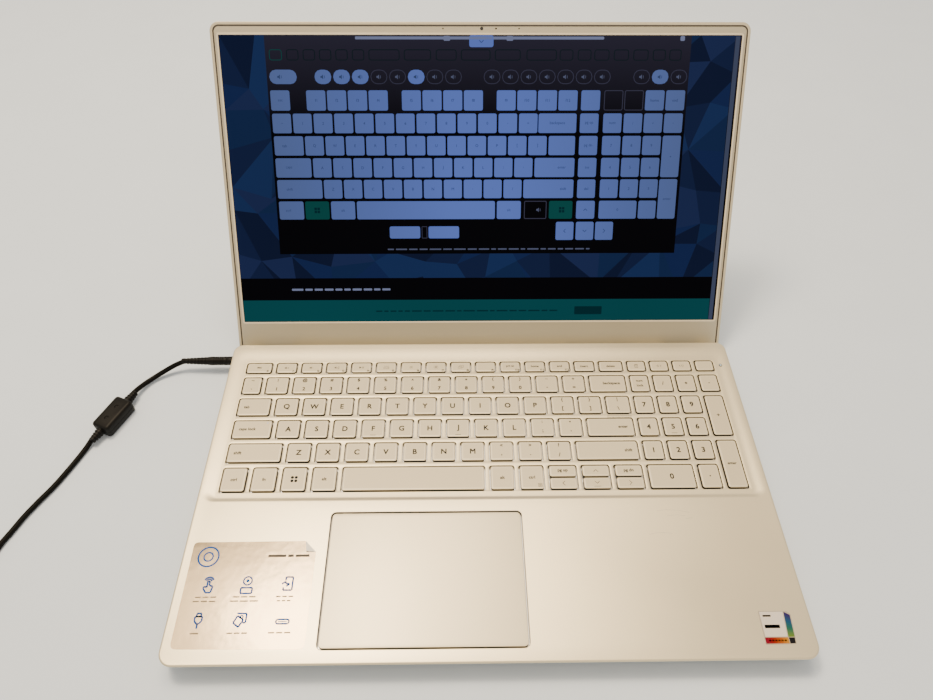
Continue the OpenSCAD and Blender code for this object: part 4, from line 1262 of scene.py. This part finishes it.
def tile(picture, x0, y0, x1, y1, r=1.1, mat=0, grow=0.0):
    """A filled key of the picture, its corners given across and down."""
    rect = (x0, SCREEN_H - y1, x1, SCREEN_H - y0)
    picture.poly(rounded(rect, r, r, 3, grow), 0, 0, mat)


def outline(picture, x0, y0, x1, y1, r, line, mat):
    """A key of the picture drawn as an outline only."""
    rect = (x0, SCREEN_H - y1, x1, SCREEN_H - y0)
    a = rounded(rect, r, r, 3)
    b = rounded(rect, r, r, 3, -line)
    n = len(a)
    picture.shape(a + b, [[i, (i + 1) % n, n + (i + 1) % n, n + i] for i in range(n)], 0, 0, mat)


# The wallpaper: flat facets in shades of navy
chance = random.Random(11)
picture = Print(17.19, on_screen, -0.02)
COLS = 15
BANDS = 8
STEP_X = SCREEN_W / COLS
STEP_Y = SCREEN_H / BANDS
nodes_at = {}
for i in range(COLS + 1):
    for j in range(BANDS + 1):
        dx = chance.uniform(-0.38, 0.38) * STEP_X if 0 < i < COLS else 0
        dy = chance.uniform(-0.38, 0.38) * STEP_Y if 0 < j < BANDS else 0
        nodes_at[i, j] = (i * STEP_X + dx, j * STEP_Y + dy)
for i in range(COLS):
    for j in range(BANDS):
        a, b, c, d = nodes_at[i, j], nodes_at[i + 1, j], nodes_at[i + 1, j + 1], nodes_at[i, j + 1]
        if chance.random() < 0.5:
            halves = ((a, b, c), (a, c, d))
        else:
            halves = ((a, b, d), (b, c, d))
        for half in halves:
            picture.poly(half, 0, 0, chance.randrange(len(NAVY)))
finish_piece(picture.done("picture_wallpaper", NAVY), "lid", "display_glass")

# The panel of keys, the bars below it and the scroll bar
picture = Print(17.165, on_screen, -0.02)
tile(picture, PANEL_X0, 0, PANEL_X1, PANEL_Y, 0.05, 0)
tile(picture, 0, 161.5, 340.0, 177.6, 0.05, 0)
tile(picture, 0, 177.6, 340.0, SCREEN_H, 0.05, 1)
tile(picture, 340.0, 0, 340.3, SCREEN_H, 0.05, 0)
tile(picture, 340.3, 0.6, 343.2, SCREEN_H - 0.6, 0.05, 2)
tile(picture, 343.2, 0, SCREEN_W, SCREEN_H, 0.05, 0)
finish_piece(picture.done("picture_panels", [panel_black, teal_bar, scroll_grey]), "lid",
             "display_glass")

picture = Print(17.14, on_screen, -0.02)
KEY, TEAL, PALE, HAIR, GREEN, DIM, DOT = range(7)
tile(picture, 89, 0.8, 253, 2.6, 0.6, PALE)
tile(picture, 164, 0, 180, 7.3, 1.4, KEY)
for x, w in ((147, 4.5), (188.5, 4.5), (303.5, 3.0)):
    tile(picture, x, 0.4, x + w, 3.4, 0.8, PALE)
boxes = [(32, 40.4)] + [(x, x + 8) for x in (43.3, 54.2, 64.9, 75.7, 86.6)]
boxes += [(97.5, 117.9), (120.8, 138.6), (141.9, 155.6), (158.5, 178), (181, 198), (202, 222),
          (224, 233), (236, 245), (247, 257), (260, 270), (273, 283), (286, 294.5), (297, 305)]
for i, (x0, x1) in enumerate(boxes):
    outline(picture, x0, 8.7, x1, 15.5, 1.6, 0.5, GREEN if i == 0 else DIM)
tile(picture, 31.2, 21.2, 49.3, 30.2, 4.3, KEY)
buttons = [(61.1 + 12.4 * i, i in (0, 1, 2, 5)) for i in range(8)]
buttons += [(173.7 + 12.3 * i, False) for i in range(7)]
buttons += [(273.9, False), (286.3, True), (298.9, False)]
for x, bright in buttons:
    if bright:
        tile(picture, x, 21.2, x + 11.1, 30.2, 4.3, KEY)
    else:
        outline(picture, x, 21.2, x + 11.1, 30.2, 4.3, 0.45, HAIR)
PITCH = 13.9
F_ROW = [30.9] + [54.8 + PITCH * i for i in range(4)] + [118.7 + PITCH * i for i in range(4)]
F_ROW += [182.5 + PITCH * i for i in range(4)] + [239.5, 282.9, 296.8]
for x in F_ROW:
    tile(picture, x, 34.1, x + 12.8, 47.0, 1.2, KEY)
for x in (255.0, 268.8):
    outline(picture, x, 34.1, x + 12.8, 47.0, 1.2, 0.5, HAIR)
SIDE = [239.3, 255.1, 269.1, 282.9]
NARROW = 12.6
ROW_SPANS = [
    (48.9, 61.6, [(31.0 + PITCH * i, NARROW) for i in range(13)] + [(211.1, 25.8), (296.7, NARROW)]),
    (63.5, 76.2, [(31.1, 19.8)] + [(52.1 + 13.85 * i, NARROW) for i in range(12)] + [(218.4, 18.1)]),
    (78.0, 90.9, [(31.0, 24.3)] + [(56.6 + 13.85 * i, NARROW) for i in range(11)] + [(209.1, 27.6)]),
    (92.5, 105.2, [(31.1, 30.9)] + [(63.2 + 13.85 * i, NARROW) for i in range(10)]
     + [(201.7, 34.9)]),
]
for y0, y1, spans in ROW_SPANS:
    for x, w in spans + [(x, NARROW) for x in SIDE]:
        tile(picture, x, y0, x + w, y1, 1.2, KEY)
for x0, y0, x1, y1 in ((296.7, 63.4, 309.3, 91.1), (296.5, 92.4, 309.1, 119.7)):
    tile(picture, x0, y0, x1, y1, 1.2, KEY)
for x0, x1, mat in ((31.2, 48.3, KEY), (49.4, 66.1, TEAL), (67.4, 84.1, KEY), (85.4, 182.0, KEY),
                    (183.4, 200.2, KEY), (220.0, 236.5, TEAL), (239.2, 252.2, KEY),
                    (255.1, 281.6, KEY), (282.9, 295.3, KEY)):
    tile(picture, x0, 107.1, x1, 119.6, 1.2, mat)
outline(picture, 202.5, 107.1, 218.3, 119.6, 1.0, 0.55, HAIR)
for x in (225.3, 239.5, 253.3):
    tile(picture, x, 121.7, x + NARROW, 134.5, 1.2, KEY)
for x0, x1 in ((107.8, 129.3), (135.2, 156.8)):
    tile(picture, x0, 124.6, x1, 133.1, 1.2, KEY)
outline(picture, 130.4, 124.6, 134.3, 133.1, 0.5, 0.45, HAIR)
tile(picture, 241, 183, 261, 189, 0.5, DOT)
finish_piece(picture.done("picture_keys", [screen_key, screen_teal, screen_pale, screen_hair,
                                           screen_green, screen_dim, screen_dark_teal]),
             "lid", "display_glass")

# Key letters and signs of the picture, and dashes where it shows sentences
picture = Print(17.115, on_screen, -0.02)


def label(body, x, y, size=2.6, mat=0):
    picture.text(body, x, SCREEN_H - y, size, "C", mat)


label("esc", 37.3, 40.5)
for i, x in enumerate(F_ROW[1:13]):
    label("f" + str(i + 1), x + 6.4, 40.5)
for x, body in zip([31.0 + PITCH * i for i in range(13)], "~1234567890-="):
    label(body, x + 6.3, 55.2)
for x0, y, body in ((52.1, 69.8, "QWERTYUIOP[]"), (56.6, 84.4, "ASDFGHJKL;'"),
                    (63.2, 98.8, "ZXCVBNM,./")):
    for i, sign in enumerate(body):
        label(sign, x0 + 13.85 * i + 6.3, y)
for body, x, y in (("tab", 38, 69.8), ("caps", 40, 84.4), ("shift", 39.5, 98.8),
                   ("ctrl", 37.5, 113.3), ("alt", 75.7, 113.3), ("alt", 191.8, 113.3),
                   ("backspace", 224, 55.2), ("enter", 228, 84.4), ("shift", 229.5, 98.8),
                   ("home", 289.3, 40.5), ("end", 303.1, 40.5), ("enter", 302.8, 106),
                   ("+", 303, 77.3), ("0", 268.3, 113.3), (".", 289.1, 113.3),
                   ("/", 275.4, 55.2), ("*", 289.2, 55.2), ("-", 303, 55.2), ("num", 261.4, 55.2),
                   ("ins", 245.6, 84.4), ("del", 245.6, 98.8), ("pg up", 245.6, 55.2),
                   ("pg dn", 245.6, 69.8)):
    label(body, x, y)
for y, digits in ((69.8, "789"), (84.4, "456"), (98.8, "123")):
    for x, digit in zip(SIDE[1:], digits):
        label(digit, x + 6.3, y)
for x, y, dx, dy in ((231.6, 128.1, -1, 0), (245.8, 128.1, 0, -1), (259.6, 128.1, 1, 0),
                     (245.7, 113.3, 0, 1)):
    picture.chevron(x, SCREEN_H - y, dx, dy, 1.3, 0.4)
picture.chevron(172, SCREEN_H - 3.8, 0, -1, 1.4, 0.4)
for x in (55.6, 227.0):
    for a in (-1.05, 1.05):
        for b in (-1.05, 1.05):
            picture.poly([(-0.85, -0.85), (0.85, -0.85), (0.85, 0.85), (-0.85, 0.85)],
                         x + a + 2, SCREEN_H - 113.3 + b, 3)
for x, bright in buttons + [(32.5, True), (207.2, False)]:
    y = SCREEN_H - (25.7 if x != 207.2 else 113.3)
    ink_mat = 0 if bright else 1
    picture.poly([(-1.3, -0.6), (-0.5, -0.6), (0.5, -1.5), (0.5, 1.5), (-0.5, 0.6), (-1.3, 0.6)],
                 x + 5.2, y, ink_mat)
    picture.bar(x + 6.6, y - 0.9, x + 6.6, y + 0.9, 0.35, ink_mat)


def dashes(x0, x1, y, height, mat):
    """A line of writing, as plain dashes."""
    x = x0
    while x < x1 - 1.5:
        w = min(chance.uniform(3.0, 8.5), x1 - x)
        tile(picture, x, y - height / 2, x + w, y + height / 2, height * 0.3, mat)
        x += w + 1.4


dashes(106, 250, 140.8, 1.0, 1)
dashes(36, 107, 169.8, 1.5, 2)
dashes(96, 230, 186.0, 0.9, 3)
finish_piece(picture.done("picture_letters", [screen_ink, screen_grey, screen_pale,
                                              screen_dark_teal]), "lid", "display_glass")

# ---------------------------------------------------------------- marks on the palm rest
STICKER_Z = 15.8
LABEL_CUTS = 4
LABEL_EDGE = 0.006


def sheet_piece(name, outline_points, thick, finish):
    """A thin label stuck on the deck."""
    maker = Maker()
    low, high = [maker.loop([(x, y, z) for x, y in outline_points])
                 for z in (STICKER_Z, STICKER_Z + thick)]
    maker.strip(low, high)
    maker.fill([low])
    maker.fill([high])
    bmesh.ops.triangulate(maker.bm, faces=maker.bm.faces)
    for _ in range(LABEL_CUTS):
        long_edges = [e for e in maker.bm.edges if e.calc_length() > LABEL_EDGE]
        if long_edges:
            bmesh.ops.subdivide_edges(maker.bm, edges=long_edges, cuts=1)
            bmesh.ops.triangulate(maker.bm, faces=maker.bm.faces)
    finish_piece(maker.done(name, [finish], 25))


FOIL_CORNERS = [(-172.6, 8.8), (-100.4, 8.0), (-100.6, 63.2), (-107.3, 70.1), (-172.7, 69.9)]


def soften(corners, radii, steps=4):
    """The outline through the corners, each cut back to a short arc."""
    out = []
    n = len(corners)
    for i in range(n):
        p = Vector(corners[i])
        a = (Vector(corners[i - 1]) - p).normalized() * radii[i]
        b = (Vector(corners[(i + 1) % n]) - p).normalized() * radii[i]
        for k in range(steps + 1):
            t = k / steps
            q = (p + a) * (1 - t) ** 2 + p * 2 * t * (1 - t) + (p + b) * t ** 2
            out.append((q.x, q.y))
    return out


sheet_piece("foil_label", soften(FOIL_CORNERS, [3.5, 3.5, 0.3, 0.3, 2.5]), 0.07,
            foil_label_finish)
# The lifted corner of the label, folded back on itself
maker = Maker()
fold = [(-107.3, 70.1), (-100.6, 63.2), (-106.2, 63.6)]
low = maker.loop([(x, y, STICKER_Z + 0.08) for x, y in fold])
high = maker.loop([(-107.3, 70.1, STICKER_Z + 0.2), (-100.6, 63.2, STICKER_Z + 0.2),
                   (-106.2, 63.6, STICKER_Z + 0.75)])
maker.strip(low, high, 0, False)
maker.fill([low])
maker.fill([high])
finish_piece(maker.done("foil_label_corner", [label_back]))

ink = Print(STICKER_Z + 0.1)
ink.ring(-162.6, 60.8, 6.3, 5.4, 40)
ink.ring(-162.6, 60.8, 3.0, 2.2, 30)


def polyline(points, width=0.95, closed=False):
    ends = list(zip(points, points[1:]))
    if closed:
        ends.append((points[-1], points[0]))
    for a, b in ends:
        ink.bar(a[0], a[1], b[0], b[1], width)


# A pointing finger, a lens, a phone, a plug, two pictures and a capsule socket
x, y = -159.2, 44.8
polyline(arc(x, y + 1.2, 2.6, 20, 160, 10))
polyline(arc(x, y + 1.2, 1.5, 10, 170, 8))
polyline([(x - 0.6, y + 1.4), (x - 0.6, y - 2.2), (x - 2.2, y - 1.6), (x - 2.6, y - 2.6),
          (x - 0.8, y - 5.2), (x + 2.0, y - 5.2), (x + 2.6, y - 1.6), (x + 0.6, y - 0.9),
          (x + 0.6, y + 1.4)], 0.95, True)
x, y = -137.2, 46.2
ink.ring(x, y, 2.8, 2.0, 26)
ink.disc(x, y, 0.9, 12)
polyline([(x - 3.2, y - 4.0), (x + 3.2, y - 4.0), (x + 3.2, y - 7.2), (x - 3.2, y - 7.2)], 0.95, True)
x, y = -114.2, 44.6
polyline([(x - 1.4, y + 1.6), (x - 1.4, y + 3.6), (x + 2.6, y + 3.6), (x + 2.6, y - 4.0),
          (x - 2.4, y - 4.0), (x - 2.4, y - 2.4)])
polyline([(x - 3.4, y - 0.4), (x - 1.4, y + 1.0), (x - 1.0, y - 0.2), (x + 1.0, y - 0.4),
          (x - 0.8, y - 1.8)], 1.0)
x, y = -160.6, 24.4
polyline([(x - 1.2, y + 3.6), (x + 1.2, y + 3.6), (x + 1.2, y + 1.8), (x - 1.2, y + 1.8)], 0.95, True)
polyline([(x - 2.0, y + 1.8), (x + 2.0, y + 1.8), (x + 2.0, y - 0.6), (x + 0.6, y - 2.2),
          (x - 0.6, y - 2.2), (x - 2.0, y - 0.6)], 0.95, True)
ink.bar(x, y - 2.2, x, y - 4.8, 1.0)
x, y = -137.6, 24.2
polyline([(x - 2.2, y + 3.6), (x + 3.2, y + 3.4), (x + 3.2, y - 1.6), (x + 1.6, y - 1.6)])
polyline([(x - 3.6, y - 1.6), (x - 1.6, y + 2.2), (x + 1.8, y + 0.0), (x - 0.4, y - 4.0)], 0.95, True)
ink.ring(x + 0.6, y + 1.6, 1.1, 0.4, 14)
x, y = -114.2, 23.0
polyline(rounded((x - 3.6, y - 1.2, x + 3.6, y + 1.2), 1.15, 1.15, 5), 0.95, True)
ink.bar(x - 2.4, y, x + 2.4, y, 0.5)
finish_piece(ink.done("foil_label_icons", [label_blue]), "base", "silver_case")

# Short dashes stand where the label has lines of writing
ink = Print(STICKER_Z + 0.1)
for x, y, w in ((-158.8, 37.0, 12.5), (-159.2, 34.6, 13.5), (-137.2, 37.0, 13.5),
                (-137.0, 34.6, 16.5), (-114.6, 37.0, 10.5), (-114.8, 34.6, 8.5),
                (-160.8, 17.0, 5.5), (-137.6, 17.0, 12), (-114.6, 17.0, 13)):
    parts = 3 if w > 8 else 1
    run = w / parts
    for i in range(parts):
        left = x - w / 2 + run * i
        ink.bar(left, y, left + run - 0.9, y, 0.75)
for i, w in enumerate((10.5, 3.2, 8.0)):
    left = -128.0 + (0, 11.6, 15.9)[i]
    ink.bar(left, 61.0, left + w, 61.0, 1.5, 1)
finish_piece(ink.done("foil_label_lines", [label_taupe, label_dark]))

# The small square label: a pale field, a coloured stripe, a coloured band and a dark corner
SMALL = [(148.9, 7.6), (165.9, 7.9), (167.3, 24.0), (165.4, 25.8), (149.4, 26.0)]
sheet_piece("small_label", soften(SMALL, [0.8, 0.8, 0.6, 0.6, 0.8]), 0.08,
            label_edge)
ink = Print(STICKER_Z + 0.105)
ink.poly([(149.9, 11.9), (162.0, 11.9), (163.1, 25.4), (150.0, 25.4)])
STRIPE = [(162.4, 11.7), (165.9, 11.7), (166.7, 23.6), (163.6, 25.4)]
bands = 14
for i in range(bands):
    t0 = i / bands
    t1 = (i + 1) / bands
    left = [lerp(STRIPE[0], STRIPE[3], t) for t in (t0, t1)]
    right = [lerp(STRIPE[1], STRIPE[2], t) for t in (t0, t1)]
    ink.poly([left[0], right[0], right[1], left[1]], 0, 0, 1 + i)
for i in range(bands):
    x0 = 149.4 + (162.2 - 149.4) * i / bands
    x1 = 149.4 + (162.2 - 149.4) * (i + 1) / bands
    ink.poly([(x0, 8.2), (x1, 8.2), (x1, 11.5), (x0, 11.5)], 0, 0, 1 + bands + i)
ink.poly([(162.5, 8.2), (165.5, 8.3), (165.8, 11.4), (162.5, 11.4)], 0, 0, 1 + 2 * bands)
for x, y, w, h in ((153.6, 23.2, 4.6, 1.0), (155.2, 17.4, 8.4, 1.9)):
    ink.bar(x - w / 2, y, x + w / 2, y, h, 1 + 2 * bands)
for i in range(6):
    ink.bar(151.4 + 1.7 * i, 9.85, 152.4 + 1.7 * i, 9.85, 0.9, 0)
finish_piece(ink.done("small_label_print", [label_white] + stripe_colours + band_colours
                      + [label_ink]))

# The caps-lock light, the light by the power key and the filler bar under the backslash key
maker = Maker()
maker.turned((-143.4, 154.2, CAP_TOP - 0.05), 2, [(0, 0.55), (0.03, 0.55), (0.06, 0.4)], 20)
finish_piece(maker.done("caps_lock_light", [light_off]), "caps_lock_key_body", "key_plastic")
maker = Maker()
maker.turned((170.7, 201.1, BED_Z + 0.62), 2,
             [(-0.3, 1.15), (0.18, 1.15), (0.26, 1.0), (0.2, 0.82), (0.2, 0.05)], 28, 0)
maker.turned((170.7, 201.1, BED_Z + 0.67), 2, [(0, 0.75), (0.16, 0.75), (0.24, 0.5), (0.26, 0.1)],
             24, 1)
finish_piece(maker.done("power_light", [gasket_rubber, light_blue]), "base", "silver_case")

# The narrow filler strip in front of the backslash key, between two lines of painted shade
ink = Print(BED_Z + 0.22, mm, 0.02)
for y in (157.3, 158.4):
    ink.bar(83.6, y, 100.4, y, 0.26)
finish_piece(ink.done("filler_strip_lines", [gap_painted_shade]), "base", "silver_case")

# Faint scratches on the right of the palm rest
ink = Print(DECK_Z + 0.012, mm, 0.01)
for points in (((104, 87.6), (110, 88.4), (118, 87.8), (124, 86.4)),
               ((110, 84.4), (116, 84.9), (121, 84.2)),
               ((97, 72.2), (101, 73.2), (106, 73.4), (111, 72.8)),
               ((121, 82.4), (125, 82.8))):
    for a, b in zip(points, points[1:]):
        ink.bar(a[0], a[1], b[0], b[1], 0.16)
finish_piece(ink.done("palm_rest_scratches", [scratch]), "base", "silver_case")

# ---------------------------------------------------------------- finishes of the CAD nodes
SLOT_FINISH = {
    "steel_plate": steel, "hinge_steel": hinge_steel, "pin_steel": pin_steel,
    "screw_steel": screw_steel, "port_steel": port_steel, "battery_foil": foil,
    "circuit_board": board, "black_plastic": black_plastic, "fan_plastic": fan_plastic,
    "copper_pipe": copper, "cell_steel": cell_steel, "ribbon": ribbon, "rubber_black": rubber,
    "silver_case": silver, "silver_plastic": silver_bezel_painted_shade, "bottom_plastic": under_plastic,
    "key_plastic": key_finish, "touch_glass": pad_finish, "display_glass": screen_black,
    "lens_glass": lens_glass, "gasket_rubber": gasket_rubber, "cord_black": cord_skin,
}
EDGED = ("hinge_arms", "hinge_brackets", "hinge_pins", "hdmi_port", "usb_a_ports", "usb_c_port",
         "audio_jack", "card_reader", "dc_jack", "display_cable", "base_screws")
for node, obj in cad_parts.items():
    for i in range(len(obj.material_slots)):
        slot = obj.material_slots[i].material.name.split(".")[0]
        obj.material_slots[i].material = SLOT_FINISH[slot]
    if node in EDGED:
        edge = obj.modifiers.new("edge", "BEVEL")
        edge.width = 0.00012
        edge.segments = 2
        edge.limit_method = "ANGLE"
        edge.angle_limit = radians(40)

# ---------------------------------------------------------------- floor, lights and surroundings
FLOOR_HALF = 6.0
floor_mesh = bpy.data.meshes.new("floor")
floor_mesh.from_pydata([(-FLOOR_HALF, -FLOOR_HALF, 0), (FLOOR_HALF, -FLOOR_HALF, 0),
                        (FLOOR_HALF, FLOOR_HALF, 0), (-FLOOR_HALF, FLOOR_HALF, 0)], [],
                       [(0, 1, 2, 3)])
floor_mesh.materials.append(floor_finish)
add_object("floor", floor_mesh)


def soft_light(name, place, target, size, power, colour):
    data = bpy.data.lights.new(name, "AREA")
    data.shape = "RECTANGLE"
    data.size = size[0]
    data.size_y = size[1]
    data.energy = power
    data.color = colour
    obj = add_object(name, data)
    obj.location = place
    aim = Vector(target) - Vector(place)
    obj.rotation_euler = aim.to_track_quat("-Z", "Y").to_euler()


WARM = (1.0, 0.79, 0.53)
soft_light("key_light", (-0.25, 0.45, 1.7), (-0.05, -0.05, 0.0), (1.3, 0.7), 29, WARM)
soft_light("glint_light", (-0.47, 0.40, 1.66), (-0.1, -0.1, 0.0), (0.30, 0.30), 15, WARM)
soft_light("front_light", (0.3, -1.5, 1.5), (0.0, 0.0, 0.05), (1.6, 1.0), 3, WARM)

world = bpy.data.worlds.new("studio")
world.use_nodes = True
back_node = world.node_tree.nodes["Background"]
back_node.inputs["Color"].default_value = (1.0, 0.87, 0.71, 1)
back_node.inputs["Strength"].default_value = 0.8
bpy.context.scene.world = world
